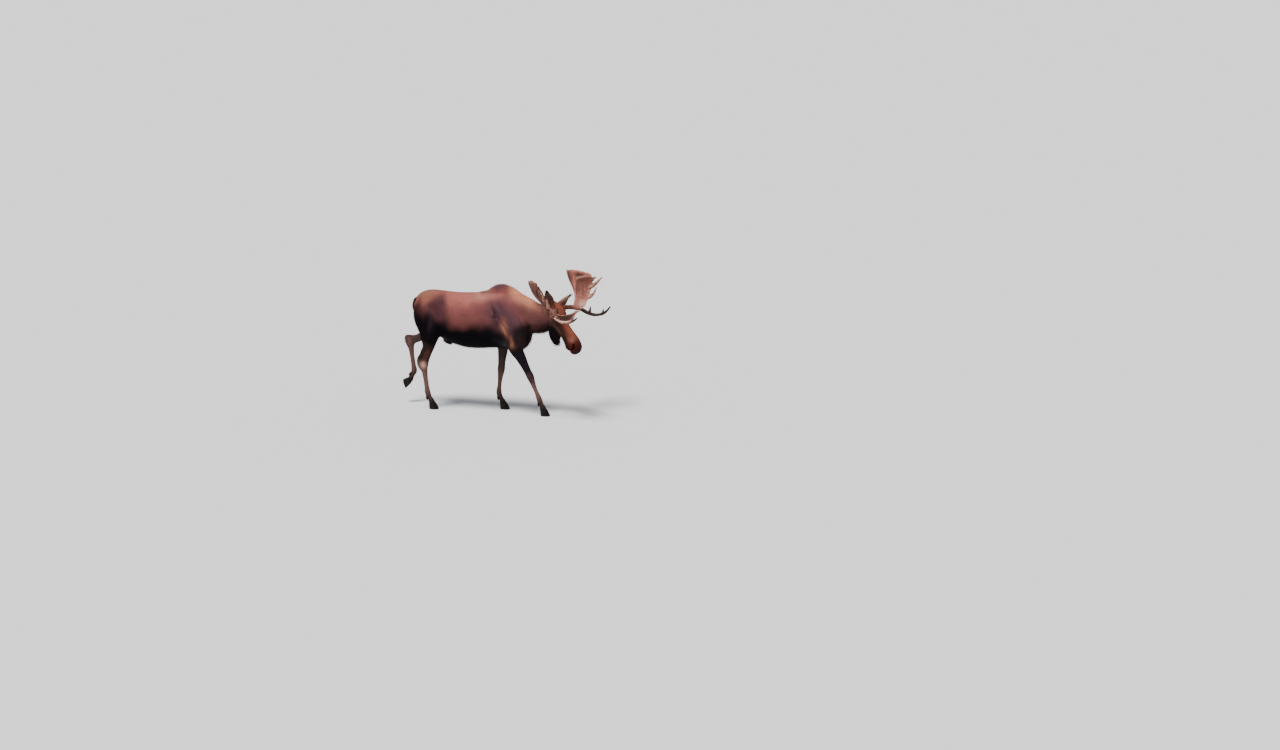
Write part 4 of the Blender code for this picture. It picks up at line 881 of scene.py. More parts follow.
# Antlers
antlerLook = {
    "voxel": 0.0042, "kept": 0.62, "fork": (0.215, 0.075, 0.35), "knobs": 5,
    "cup": 0.06,
    "left": {"curl": 0.06, "wall": 0.035, "knob": 0.004, "margin": 0.004},
    "right": {"curl": 0.035, "wall": 0.015, "knob": 0.0, "margin": 0.011},
}
antlerBeam = (  # along the face, above its bridge, outwards, reach to front and back, half width
    (0.106, -0.02, 0.1, 0.03, 0.03, 0.03), (0.112, -0.004, 0.124, 0.036, 0.036, 0.036),
    (0.125, 0.013, 0.152, 0.033, 0.033, 0.033), (0.165, 0.045, 0.235, 0.035, 0.035, 0.034),
    (0.2, 0.065, 0.31, 0.038, 0.04, 0.032), (0.195, 0.085, 0.365, 0.036, 0.038, 0.026),
)
palmEdges = {  # back from the fork, above it, outwards
    "rear": {
        "left": ((0.05, -0.02, -0.13), (0.21, 0.02, -0.01), (0.385, 0.012, 0.045), (0.585, 0.045, 0.03)),
        "right": ((0.05, -0.02, -0.13), (0.2, 0.01, 0.0), (0.38, 0.012, 0.085), (0.585, 0.01, 0.055)),
    },
    "front": {
        "left": ((-0.01, 0.04, 0.04), (0.12, 0.138, 0.158), (0.26, 0.213, 0.262), (0.345, 0.235, 0.285)),
        "right": ((-0.01, 0.045, 0.045), (0.12, 0.12, 0.14), (0.28, 0.205, 0.235), (0.46, 0.25, 0.295)),
    },
}
browBranches = {  # back, above, outwards, thickness, width
    "left": (
        (0.02, -0.01, -0.03, 0.034, 0.032), (-0.12, 0.045, 0.02, 0.026, 0.03),
        (-0.215, 0.157, 0.02, 0.022, 0.029), (-0.258, 0.275, 0.04, 0.019, 0.024),
        (-0.235, 0.42, 0.06, 0.011, 0.011),
    ),
    "right": (
        (0.02, -0.01, -0.03, 0.034, 0.032), (-0.06, 0.05, 0, 0.029, 0.034), (-0.14, 0.095, 0, 0.025, 0.034),
        (-0.21, 0.185, 0.012, 0.023, 0.03), (-0.245, 0.29, 0.03, 0.019, 0.022),
        (-0.255, 0.4, 0.04, 0.01, 0.01),
    ),
}
browCup = {
    "inner": ((0.03, 0.03, -0.05), (-0.05, 0.09, -0.075), (-0.1, 0.2, -0.11), (-0.135, 0.31, -0.115)),
    "keel": ((-0.02, 0.02, 0.0), (-0.13, 0.1, 0.0), (-0.2, 0.19, 0.012), (-0.225, 0.27, 0.025)),
}
tines = {  # root, middle and tip, each back, above and outwards, then the root's radius
    "left": (
        ((0.2, 0.15, 0.18), (0.22, 0.22, 0.3), (0.266, 0.291, 0.42), 0.022),
        ((0.08, 0.09, 0.1), (0.095, 0.155, 0.19), (0.165, 0.22, 0.275), 0.021),
        ((0.28, 0.2, 0.245), (0.3, 0.24, 0.29), (0.295, 0.265, 0.33), 0.02),
        ((-0.12, 0.075, 0.01), (-0.095, 0.105, 0.022), (-0.055, 0.125, 0.04), 0.016),
        ((-0.255, 0.24, 0.03), (-0.23, 0.275, 0.04), (-0.19, 0.295, 0.05), 0.014),
    ),
    "right": (
        ((0.2, 0.15, 0.18), (0.24, 0.24, 0.27), (0.312, 0.311, 0.33), 0.02),
        ((0.1, 0.09, 0.1), (0.14, 0.18, 0.19), (0.25, 0.25, 0.22), 0.02),
        ((0.33, 0.2, 0.23), (0.36, 0.25, 0.275), (0.4, 0.285, 0.3), 0.018),
        ((-0.125, 0.27, -0.11), (-0.145, 0.35, -0.108), (-0.16, 0.43, -0.1), 0.0149),
    ),
}


def antlerPlace(side, back, above, out):
    along, height, halfSpan = antlerLook["fork"]
    return inHead(along - back, height + above, side * (halfSpan + out))


def antlerLine(side, places, count):
    return through([antlerPlace(side, *place) for place in places], count)


def facing(sheet, way):
    # The sheet's own way at each of its places, on the side that looks along the given way.
    normal = unit(np.cross(np.gradient(sheet, axis=0), np.gradient(sheet, axis=1)))
    return -normal if normal.mean((0, 1)) @ np.array(way) < 0 else normal


def palmSheet(sideName, rows=60, columns=44):
    # Between the palm's rear and front edge: straight across, then pressed into a cup in its middle,
    # curled over at its far margin, and swollen there by a few shallow knobs.
    look, side = antlerLook[sideName], sides[sideName]
    rear, front = (antlerLine(side, palmEdges[edge][sideName], rows) for edge in ("rear", "front"))
    share = np.linspace(0, 1, rows)[:, None, None]
    across = np.linspace(0, 1, columns)[None, :, None]
    sheet = rear[:, None] * (1 - across) + front[:, None] * across
    outwards = (rear[-1] + front[-1]) / 2 - (rear[0] + front[0]) / 2
    outwards /= np.linalg.norm(outwards)
    knob = look["knob"] * np.sin(antlerLook["knobs"] * np.pi * across) ** 2
    sheet = sheet + (0.05 * np.sin(np.pi * across) ** 0.7 + knob) * outwards * share**4
    curl = look["curl"] * np.clip((share - 0.7) / 0.3, 0, 1) ** 1.6
    wall = look["wall"] * np.clip((0.3 - across) / 0.3, 0, 1) ** 1.5 * smooth(0.2, 0.6, share)
    cup = antlerLook["cup"] * (1 - (2 * across - 1) ** 2) * share**0.7
    return sheet + facing(sheet, browWay) * (curl + wall - cup), share, across


def plate(sheet, thickness):  # a sheet given its thickness on both sides
    normal = facing(sheet, browWay)
    points = np.concatenate([(sheet + normal * step).reshape(-1, 3) for step in (thickness, -thickness)])
    return points, sheetFaces(*sheet.shape[:2])


def antlerForms(sideName):
    # Beam, palm and brow branch, the right brow's own small palm, and the tines as tapering lofts.
    side = sides[sideName]
    sheet, share, across = palmSheet(sideName)
    rim = np.maximum(np.abs(2 * across - 1) ** 8, share**8)
    rounding = np.sqrt((1 - np.abs(2 * across - 1) ** 14) * (1 - share**18)) * 0.9 + 0.1
    thick = 0.0085 + 0.0065 * rim + 0.012 * (1 - share) ** 1.5 + antlerLook[sideName]["margin"] * share**5
    brow = [(*antlerPlace(side, *place), deep, deep, wide) for *place, deep, wide in browBranches[sideName]]
    forms = [
        loft(sideRows(antlerBeam, side), browWay, spacing=0.01), plate(sheet, thick * rounding),
        loft(brow, noseWay, spacing=0.01),
    ]
    if sideName == "right":
        inner, keel = (antlerLine(side, browCup[edge], 36) for edge in ("inner", "keel"))
        over = np.linspace(0, 1, 18)[None, :, None]
        cup = inner[:, None] * (1 - over) + keel[:, None] * over
        cup = cup - facing(cup, browWay) * 0.022 * (1 - (2 * over - 1) ** 2)
        forms.append(plate(cup, 0.009 + 0.004 * np.abs(2 * over - 1) ** 6))
    for root, middle, tip, radius in tines[sideName]:
        swell = tuple(a + (b - a) * 0.3 for a, b in zip(root, middle))
        shares = ((root, 0.5), (swell, 1.35), (middle, 1.05), (tip, 0.5))
        rows = [(*antlerPlace(side, *place), *[radius * share] * 3) for place, share in shares]
        forms.append(loft(rows, browWay, around=20, spacing=0.01))
    return forms


def palmPlaces(points, sideName, rows=40, columns=30):
    # For each point: its share along the palm, its share across it, and how near it is to the palm.
    # Nearest grid place first, then a step along the sheet's two ways to the foot of the point.
    sheet, _, _ = palmSheet(sideName, rows, columns)
    downWay, overWay = (np.gradient(sheet, axis=axis).reshape(-1, 3) for axis in (0, 1))
    grid, batch = sheet.reshape(-1, 3), 20000
    nearest = np.empty(len(points), int)
    for start in range(0, len(points), batch):
        part = points[start : start + batch]
        nearest[start : start + batch] = ((part[:, None] - grid[None]) ** 2).sum(-1).argmin(1)
    offset, d, o = points - grid[nearest], downWay[nearest], overWay[nearest]
    dd, oo, cross = (d * d).sum(1), (o * o).sum(1), (d * o).sum(1)
    alongD, alongO = (offset * d).sum(1), (offset * o).sum(1)
    scale = np.maximum(dd * oo - cross**2, 1e-12)
    stepD = np.clip((alongD * oo - alongO * cross) / scale, -0.7, 0.7)
    stepO = np.clip((alongO * dd - alongD * cross) / scale, -0.7, 0.7)
    gap = lengthOf(offset - d * stepD[:, None] - o * stepO[:, None])
    share, across = (nearest // columns + stepD) / (rows - 1), (nearest % columns + stepO) / (columns - 1)
    return np.clip(share, 0, 1), np.clip(across, 0, 1), smooth(0.032, 0.018, gap)


def tipShare(points, sideName):
    # 1 at the end of a tine or of the brow branch, falling to 0 some centimetres down from it.
    allLong = sideName == "left"
    ends = [(tip, 0.085 if radius > 0.015 or allLong else 0.03) for *_, tip, radius in tines[sideName]]
    ends.append((browBranches[sideName][-1][:3], 0.2))
    share = np.zeros(len(points))
    for place, reach in ends:
        gap = gapTo(points, antlerPlace(sides[sideName], *place))
        share = np.maximum(share, smooth(reach, reach * 0.35, gap))
    return share


def buildAntler(sideName):
    # The forms are fused and softened, then the palm gets ridges that fan out and the whole fine lumps.
    antler = meshObject("antler" + sideName.capitalize(), *joined(antlerForms(sideName)))
    fuse(antler, antlerLook["voxel"])
    relax(antler, 0.5, 12)
    points, normals = pointsOf(antler), normalsOf(antler)
    share, across, onPalm = palmPlaces(points, sideName)
    fan = np.sin(across * 62 + 3 * np.sin(share * 7)) * 0.6
    fan += np.sin(across * 31 + 2 * np.sin(share * 5 + 1)) * 0.8
    lump = np.sin(points @ (61, 23, 40)) * np.sin(points @ (-31, 57, 28))
    lump += 0.6 * np.sin(points @ (17, -69, 51))
    rise = 0.0011 * fan * onPalm * smooth(0.05, 0.3, share) + 0.0012 * lump
    setPoints(antler, points + normals * rise[:, None])
    modify(antler, "DECIMATE", ratio=antlerLook["kept"])
    antler.data.shade_smooth()
    return antler


# Eyes and lids
def eyeForm(side, rings=40, around=64):
    # A globe whose radius swells by the bulge times exp(-(angle from the gaze / 0.55)^2): the cornea.
    away = np.linspace(0.02, math.pi - 0.02, rings)[:, None]
    angle = np.linspace(0, 2 * math.pi, around, endpoint=False)[None, :]
    radius = eyeLook["radius"] + eyeLook["bulge"] * (falloff(away, 0.55) - 0.55)
    flat = radius * np.sin(away)
    local = np.stack([flat * np.cos(angle), flat * np.sin(angle), radius * np.cos(away) + 0 * angle], -1)
    out, front, up = gazeFrame(side)
    points = local @ np.array([front, up, out]) + eyePlace(side)
    return np.concatenate([points.reshape(-1, 3), points[[0, -1]].mean(1)]), tubeFaces(rings, around)


def lidForm(side, steps=72, around=12):
    # A rim round the almond opening: a small oval section carried along the edge of both lids, on a
    # sphere just outside the eyeball.
    turn = np.linspace(0, 2 * math.pi, steps, endpoint=False)
    ahead = lidShape["halfLength"] * np.cos(turn) * 0.985
    upper, lower = lidEdge(ahead)
    above = np.where(np.sin(turn) >= 0, upper, -lower)
    deep = np.sqrt(np.maximum((eyeLook["radius"] + 0.0012) ** 2 - ahead**2 - above**2, 1e-5))
    path = np.stack([ahead, above, deep], -1)
    way, radial = unit(np.roll(path, -1, 0) - np.roll(path, 1, 0)), unit(path)
    angle = np.linspace(0, 2 * math.pi, around, endpoint=False)[None, :, None]
    thick = 0.0019 + 0.0009 * (np.sin(turn) > 0) * np.sin(np.clip(turn, 0, math.pi))
    thick = thick[:, None, None]
    section = np.cos(angle) * np.cross(way, radial)[:, None] * thick * 1.5
    section = section + np.sin(angle) * radial[:, None] * thick
    out, front, up = gazeFrame(side)
    points = ((path[:, None] + section) @ np.array([front, up, out]) + eyePlace(side)).reshape(-1, 3)
    return points, gridFaces(steps, around, rowsMeet=True)[:, [0, 3, 2, 1]].tolist()


# Colours of the coat
# Painted light among these tones: the back's is warmer hair with painted sheen on it; those of the rump,
# withers, neck crest, triceps streaks, elbow, hock and snout are painted highlights, the pale thigh tone is
# painted sheen and the pale ear tone paints the left ear as lit; black also serves as painted shade in a
# crease, and the nostril tone is painted shade.
tones = {
    "black": (0.0025, 0.0018, 0.003), "flank": (0.195, 0.062, 0.056), "back": (0.4, 0.125, 0.1),
    "rump": (0.34, 0.14, 0.085), "hip": (0.062, 0.025, 0.032), "thigh": (0.003, 0.002, 0.003),
    "thighSheen": (0.036, 0.019, 0.026), "withersHighlight": (0.48, 0.2, 0.155), "shoulder": (0.072, 0.037, 0.05),
    "hump": (0.18, 0.085, 0.11), "neckTopHighlight": (0.95, 0.42, 0.25), "neck": (0.175, 0.064, 0.058),
    "throat": (0.02, 0.011, 0.01), "chest": (0.03, 0.017, 0.017), "streakHighlight": (0.34, 0.13, 0.08),
    "groin": (0.07, 0.05, 0.042), "elbow": (0.09, 0.075, 0.08), "forearm": (0.012, 0.008, 0.013),
    "foreLow": (0.06, 0.033, 0.032), "knee": (0.13, 0.072, 0.06), "cannon": (0.15, 0.078, 0.06),
    "fetlock": (0.085, 0.048, 0.04), "pastern": (0.03, 0.018, 0.016), "gaskin": (0.068, 0.028, 0.021),
    "hock": (0.65, 0.36, 0.28), "legEdge": (0.014, 0.009, 0.009), "cheek": (0.024, 0.01, 0.008),
    "cheekLight": (0.085, 0.042, 0.034), "forehead": (0.21, 0.062, 0.036), "bridge": (0.205, 0.056, 0.031),
    "snoutHighlight": (0.33, 0.13, 0.09), "muzzle": (0.09, 0.01, 0.005), "nose": (0.028, 0.013, 0.011),
    "lip": (0.014, 0.007, 0.006), "hole": (0.002, 0.0015, 0.0015), "eyeRing": (0.006, 0.003, 0.0025),
    "ear": (0.11, 0.052, 0.038), "earLight": (0.33, 0.19, 0.145), "earTip": (0.014, 0.009, 0.008),
    "bell": (0.014, 0.008, 0.009), "tail": (0.03, 0.012, 0.01),
}
flankPatches = (  # tone, strength, side (0 is both), x, z, reach along x and along z
    # The rump and withers patches are painted highlights.
    ("rump", 0.9, 0, -1.13, 1.68, 0.18, 0.11), ("withersHighlight", 0.85, 0, -0.28, 1.71, 0.19, 0.08),
    ("shoulder", 0.85, 0, 0.0, 1.51, 0.2, 0.19), ("shoulder", 0.75, 0, 0.17, 1.35, 0.15, 0.19),
    ("thigh", 0.98, 0, -1.14, 1.22, 0.2, 0.31), ("thigh", 0.95, 0, -0.9, 1.14, 0.13, 0.24),
    # The pale patch at the end of this line, on the thigh, is painted sheen.
    ("thigh", 0.7, 0, -1.24, 1.42, 0.07, 0.16), ("thighSheen", 0.6, 0, -1.01, 1.33, 0.045, 0.17),
    ("hip", 0.9, 0, -0.9, 1.6, 0.1, 0.11), ("hip", 0.8, 0, -0.86, 1.44, 0.09, 0.13),
    ("hip", 0.5, 0, -1.02, 1.52, 0.08, 0.1), ("hump", 0.95, 0, 0.0, 1.85, 0.19, 0.05),
    # The three streak patches are painted highlights along the triceps.
    ("streakHighlight", 0.75, -1, 0.1, 1.27, 0.05, 0.13), ("streakHighlight", 0.65, -1, 0.19, 1.08, 0.05, 0.11),
    ("streakHighlight", 0.45, 1, -0.02, 1.2, 0.06, 0.16), ("chest", 0.8, 0, 0.36, 1.06, 0.12, 0.12),
    # The two black patches are painted shade in the crease behind the shoulder blade.
    ("black", 0.8, 0, -0.07, 1.45, 0.03, 0.09), ("black", 0.55, 0, -0.01, 1.34, 0.028, 0.08),
    # The elbow patch is a painted highlight.
    ("elbow", 0.55, -1, 0.02, 1.02, 0.05, 0.055),
)
facePatches = (  # tone, strength, along the face, above its bridge, and the reach along both
    ("cheekLight", 0.9, 0.17, -0.18, 0.1, 0.07), ("forehead", 0.95, 0.1, 0.0, 0.14, 0.06),
    ("bridge", 0.95, 0.44, 0.005, 0.18, 0.072), ("bridge", 0.6, 0.57, -0.085, 0.085, 0.055),
    ("cheekLight", 0.8, 0.36, -0.17, 0.12, 0.05), ("muzzle", 0.88, 0.71, -0.12, 0.085, 0.11),
    # The snout patch is a painted highlight.
    ("snoutHighlight", 0.5, 0.6, -0.05, 0.045, 0.04),
    ("nose", 0.95, 0.785, -0.11, 0.058, 0.13), ("lip", 0.97, 0.61, -0.24, 0.14, 0.045),
    ("lip", 0.9, 0.74, -0.215, 0.06, 0.035), ("eyeRing", 0.9, 0.232, -0.08, 0.034, 0.026),
)
foreEnd = ((0.66, "knee"), (0.76, "cannon"), (0.86, "fetlock"), (0.95, "pastern"), (1, "pastern"))
legStops = {  # share down the leg and the tone there
    "foreLeft": ((0, "chest"), (0.2, "foreLow"), (0.4, "foreLow"), (0.6, "knee"), *foreEnd),
    "foreRight": ((0, "chest"), (0.2, "forearm"), (0.46, "forearm"), (0.54, "foreLow"), (0.6, "foreLow"),
        *foreEnd),
    "hind": ((0, "thigh"), (0.3, "thigh"), (0.42, "gaskin"), (0.52, "gaskin"), (0.575, "knee"),
        (0.66, "cannon"), (0.8, "cannon"), (0.89, "fetlock"), (0.97, "pastern"), (1, "pastern")),
}
neckLines = {"top": ((0.1, 1.84), (0.28, 1.755), (0.5, 1.65), (0.74, 1.6)),
        "under": ((0.4, 1.14), (0.56, 1.19), (0.74, 1.29))}


def paint(colour, tone, mask):
    return colour + (np.array(tone) - colour) * np.clip(mask, 0, 1)[:, None]


def layered(colour, palette, layers):  # one tone after the other, each where its mask says
    for toneName, mask in layers:
        colour = paint(colour, palette[toneName], mask)
    return colour


def plain(tone, points):
    return np.tile(np.array(tone), (len(points), 1))


def patch(u, v, centreU, centreV, reachU, reachV):  # exp(-(squared distance in reaches)) about a centre
    return np.exp(-(((u - centreU) / reachU) ** 2) - ((v - centreV) / reachV) ** 2)


def coatTone(points, shares, lengthways):
    # Dark below and warm above on the trunk, the warm top partly painted sheen; soft patches where the coat
    # changes, among them painted highlights, painted sheen and painted shade; then each limb's own tones.
    x, y, z = points.T
    x = x + 0.022 * blotches(points, 0.3, 5)
    z = z + 0.018 * blotches(points, 0.22, 6)
    share = sharesByName(shares)
    barrel = np.array(trunkShape["barrel"])
    top, belly = (np.interp(x, barrel[:, 0], barrel[:, column]) for column in (1, 2))
    rise = (z - belly) / (top - belly) + 0.03 * np.sin(x * 9 + 1.3)
    # The back tone lightens the top of the trunk: warmer hair with painted sheen over it.
    layers = [("flank", smooth(0.3, 0.58, rise)), ("back", smooth(0.62, 0.97, rise))]
    for toneName, strength, side, u, v, reachU, reachV in flankPatches:
        here = strength if side == 0 else strength * smooth(-0.02, 0.06, y * side)
        layers.append((toneName, patch(x, z, u, v, reachU, reachV) * here))
    groin = smooth(0.13, 0.06, np.abs(y)) * smooth(1.12, 1.0, z) * smooth(-0.78, -0.86, x)
    onNeck = smooth(0.08, 0.34, x)
    topGap, underGap = (lineGap(points[:, [0, 2]], neckLines[name]) for name in ("top", "under"))
    layers += [
        ("groin", groin * 0.8), ("neck", onNeck * smooth(0.05, 0.6, share["neck"] + share["head"])),
        ("throat", falloff(underGap, 0.13) * onNeck),
        # Painted highlight along the neck's crest.
        ("neckTopHighlight", falloff(topGap, 0.085) * smooth(0.06, 0.2, x) * smooth(0.64, 0.44, x) * 0.95),
    ]
    colour = layered(plain(tones["black"], points), tones, layers)
    for name in legs:
        colour = legTone(points, colour, name, share[name], lengthways[:, limbNames.index(name)])
    return faceTone(points, colour, share)


def legTone(points, colour, name, share, along):
    # The leg's tones by the share of the way down it, darker along its front and back edges, pale inside
    # above, a painted highlight on the outside of the hock, and the far legs darkened by their shade factor
    # as painted shade.
    leg, rows, kind = legs[name], limbs[name], kindOf(name)
    down = along / lengthOf(np.diff(rows[:, :3], axis=0)).sum()
    stops, toneNames = zip(*legStops[name if kind == "fore" else "hind"])
    bands = [np.interp(down, stops, [tones[toneName][band] for toneName in toneNames]) for band in range(3)]
    foot = lineFoot(points, rows[:, :3])[2]
    edge = smooth(0.45, 1.0, np.abs((points - foot)[:, 0] / 0.045)) * smooth(0.62, 0.5, down) * 0.8
    inner = smooth(0, 0.03, (foot - points)[:, 1] * leg["side"]) * smooth(0.3, 0.45, down)
    edges = [("legEdge", edge * smooth(0.28, 0.4, down)), ("groin", inner * smooth(0.62, 0.5, down) * 0.6)]
    shade = leg.get("shade", 1.0)
    tone = layered(np.stack(bands, -1), tones, edges) * shade
    colour = colour + (tone - colour) * (smooth(0.1, 0.26, down) * smooth(0.35, 0.75, share))[:, None]
    if kind == "hind":
        hock = np.array(legJoints(name)[1]) + (0.0, leg["side"] * 0.05, -0.01)
        # Painted highlight on the outside of the hock, dimmed on the far leg by its shade factor.
        colour = paint(colour, tones["hock"], falloff(gapTo(points, hock), 0.046) * 0.9 * shade)
    return colour


def faceTone(points, colour, share):
    # The face from dark cheeks to a red muzzle with a painted highlight near its bridge and painted shade in
    # the nostrils and along the mouth, then the bell, the tail and the ears with their dark tips, the left
    # ear lightened as painted light.
    head = headPlaces(points)
    along, above, left = head.T
    layers = [
        (toneName, patch(along, above, u, v, reachU, reachV) * strength)
        for toneName, strength, u, v, reachU, reachV in facePatches
    ]
    # Near black inside the nostril slits: painted shade in the carved hollow.
    hole = np.exp(-((lineGap(head[:, :2], nostril["line"]) / 0.014) ** 4)) * smooth(0.6, 0.64, along)
    layers += [("hole", hole * (np.abs(left) > 0.02)),
            # The lip tone along the mouth line is painted shade in its carved crease.
            ("lip", falloff(lineGap(head[:, :2], mouthLine), 0.01) * smooth(0.46, 0.52, along))]
    face = layered(plain(tones["cheek"], points), tones, layers)
    onFace = smooth(0.25, 0.7, share["head"]) * smooth(-0.11, -0.02, along)
    colour = colour + (face - colour) * onFace[:, None]
    colour = layered(colour, tones, [(name, smooth(0.2, 0.6, share[name])) for name in ("bell", "tail")])
    # The left ear is lightened as painted light; the right ear keeps the plain ear tone.
    for sideName, toneName, tip in (("left", "earLight", 0.5), ("right", "ear", 0.9)):
        root, way, _, _ = earFrame(sideName)
        onTip = smooth(0.19, 0.25, (points - root) @ way) * tip
        ear = paint(plain(tones[toneName], points), tones["earTip"], onTip)
        onEar = smooth(0.3, 0.7, share["ear" + sideName.capitalize()])
        colour = colour + (ear - colour) * onEar[:, None]
    return colour


# The coat's tufts
coatLook = {  # tufts to the square metre, length, width, lift off the skin in degrees
    "trunk": (15500, 0.03, 0.0024, 12), "neck": (16000, 0.04, 0.0024, 15), "head": (42000, 0.012, 0.0015, 11),
    "bell": (20000, 0.05, 0.0022, 16), "tail": (30000, 0.045, 0.002, 12), "ear": (24000, 0.013, 0.0014, 14),
    "fore": (17000, 0.023, 0.0021, 11), "hind": (17000, 0.025, 0.0021, 11), "foot": (25000, 0.013, 0.0016, 9),
}
longHair = {  # places of long hair: tufts, length, width, lift, and how far gravity bends the tip down
    "crest": (5200, 0.085, 0.003, 38, 0.25), "bell": (2600, 0.048, 0.0026, 14, 0.4),
    "throat": (2200, 0.07, 0.0026, 20, 0.5), "belly": (2600, 0.05, 0.0025, 20, 0.35),
    "ham": (2200, 0.045, 0.0024, 20, 0.2), "chin": (700, 0.04, 0.0018, 24, 0.4),
    "earEdge": (1800, 0.032, 0.0014, 30, 0.05), "coronet": (1500, 0.026, 0.0018, 22, 0.3),
    "pedicle": (1600, 0.024, 0.0017, 34, 0.0),
}
tuftLook = {"flat": 0.4, "sunk": 0.0012, "stray": 0.1, "vary": 0.13, "bakeSpot": 0.003, "quickShare": 0.12}


def limbWays(points, lengthways):
    # For each point and limb, the way its hair runs: a fixed way, or along the limb's own line.
    ways = np.zeros((len(points), len(limbs), 3))
    for column, (name, rows) in enumerate(limbs.items()):
        if name == "head":
            ways[:, column] = np.array(noseWay) * -0.85 + np.array((-0.1, 0, -0.4))
            continue
        ways[:, column] = coatWays.get(kindOf(name), (0, 0, 0))
        if name in ("trunk", "neck"):
            continue
        steps = np.diff(rows[:, :3], axis=0)
        lengths = lengthOf(steps)
        reached = np.concatenate([[0], np.cumsum(lengths)])
        index = np.clip(np.searchsorted(reached, lengthways[:, column]) - 1, 0, len(steps) - 1)
        ways[:, column] += (steps / lengths[:, None])[index] * 1.5
    return ways


def coatSurvey(skin):
    # Everything the tufts need to know at each skin vertex.
    points, normals = pointsOf(skin), normalsOf(skin)
    nearness, lengthways = limbPlaces(points)
    shares = limbShares(nearness)
    feet = smooth(0.62, 0.4, points[:, 2])[:, None]
    look = shares @ perLimb(coatLook) * (1 - feet) + np.array(coatLook["foot"]) * feet
    ways = (limbWays(points, lengthways) * shares[..., None]).sum(1)
    ways += crestShare(points)[:, None] * np.array((-0.3, 0, 0.35))
    swirl = 0.22 * np.sin(points @ (9, 13, 7)) + 0.15 * np.sin(points @ (-17, 5, 21))
    ways += np.cross(normals, ways) * swirl[:, None]
    return {
        "points": points, "normals": normals, "lengthways": lengthways, "shares": shares, "look": look,
        "ways": ways, "tone": coatTone(points, shares, lengthways), "bare": bareShare(points),
    }


def pedicle(side):  # the middle of the place from which an antler grows
    return inHead(0.107, -0.008, side * 0.112)


def bareShare(points):
    # 1 where no hair grows: on the eyes and lids, in the nostrils, under the antlers and on the hooves.
    head = headPlaces(points)
    bare = smooth(0.016, 0.012, lineGap(head[:, :2], nostril["line"])) * (np.abs(head[:, 2]) > 0.02)
    bare *= head[:, 0] > 0.6
    for side in sides.values():
        bare = np.maximum(bare, smooth(0.0275, 0.0245, gapTo(points, eyePlace(side))))
        bare = np.maximum(bare, smooth(0.036, 0.032, gapTo(points, pedicle(side))))
    for name in legs:
        past, gap = pastCoronet(points, name)
        bare = np.maximum(bare, (past > -0.004) * (gap < 0.12))
    return bare


def trianglesOf(piece):
    piece.data.calc_loop_triangles()
    return valuesOf(piece.data.loop_triangles, "vertices", 3, int)


def drawRoots(survey, corners, density, count=None):
    # Roots spread over the skin in step with area times density: evenly spaced draws along the running
    # total, each placed at random inside its triangle.
    a, b, c = (survey["points"][corners[:, k]] for k in range(3))
    area = lengthOf(np.cross(b - a, c - a)) / 2
    weight = area * density[corners].mean(1)
    total = np.cumsum(weight)
    count = count or int(total[-1])
    picks = (np.arange(count) + draws.random(count)) / count * total[-1]
    chosen = corners[np.clip(np.searchsorted(total, picks), 0, len(total) - 1)]
    u, v = draws.random((2, count))
    u, v = np.where(u + v > 1, 1 - u, u), np.where(u + v > 1, 1 - v, v)
    weights = np.stack([1 - u - v, u, v], -1)

    def at(values):
        return (values[chosen] * weights.reshape(count, 3, *(1,) * (values.ndim - 1))).sum(1)

    roots = {name: at(values) for name, values in survey.items() if name != "bare"}
    roots["normals"] = unit(roots["normals"])
    return roots


def rootPlaces(roots, limbIndex):
    # The skin's own unwrap: round each limb by angle times its radius, and down it by length, in metres.
    places = np.empty((len(limbIndex), 2))
    for column, rows in enumerate(limbs.values()):
        mine = limbIndex == column
        if not mine.any():
            continue
        points = roots["points"][mine]
        offset = points - lineFoot(points, rows[:, :3])[2]
        way = rows[-1, :3] - rows[0, :3]
        way = way / np.linalg.norm(way)
        first = np.array((0, 0, 1.0) if abs(way[2]) < 0.8 else (1.0, 0, 0))
        first -= way * (first @ way)
        first /= np.linalg.norm(first)
        angle = np.arctan2(offset @ np.cross(way, first), offset @ first)
        places[mine] = np.stack([angle * rows[:, 3].mean(), roots["lengthways"][mine, column]], -1)
    return places


def packPlaces(places, limbIndex):
    # Each limb's places fill a strip of the unit square of its own, side by side, with a margin.
    packed = np.empty_like(places)
    groups = np.unique(limbIndex)
    for order, group in enumerate(groups):
        mine = limbIndex == group
        low, high = places[mine].min(0), places[mine].max(0)
        unit = (places[mine] - low) / np.maximum(high - low, 1e-6)
        packed[mine, 0] = (order + 0.03 + 0.94 * unit[:, 0]) / len(groups)
        packed[mine, 1] = 0.02 + 0.96 * unit[:, 1]
    return packed


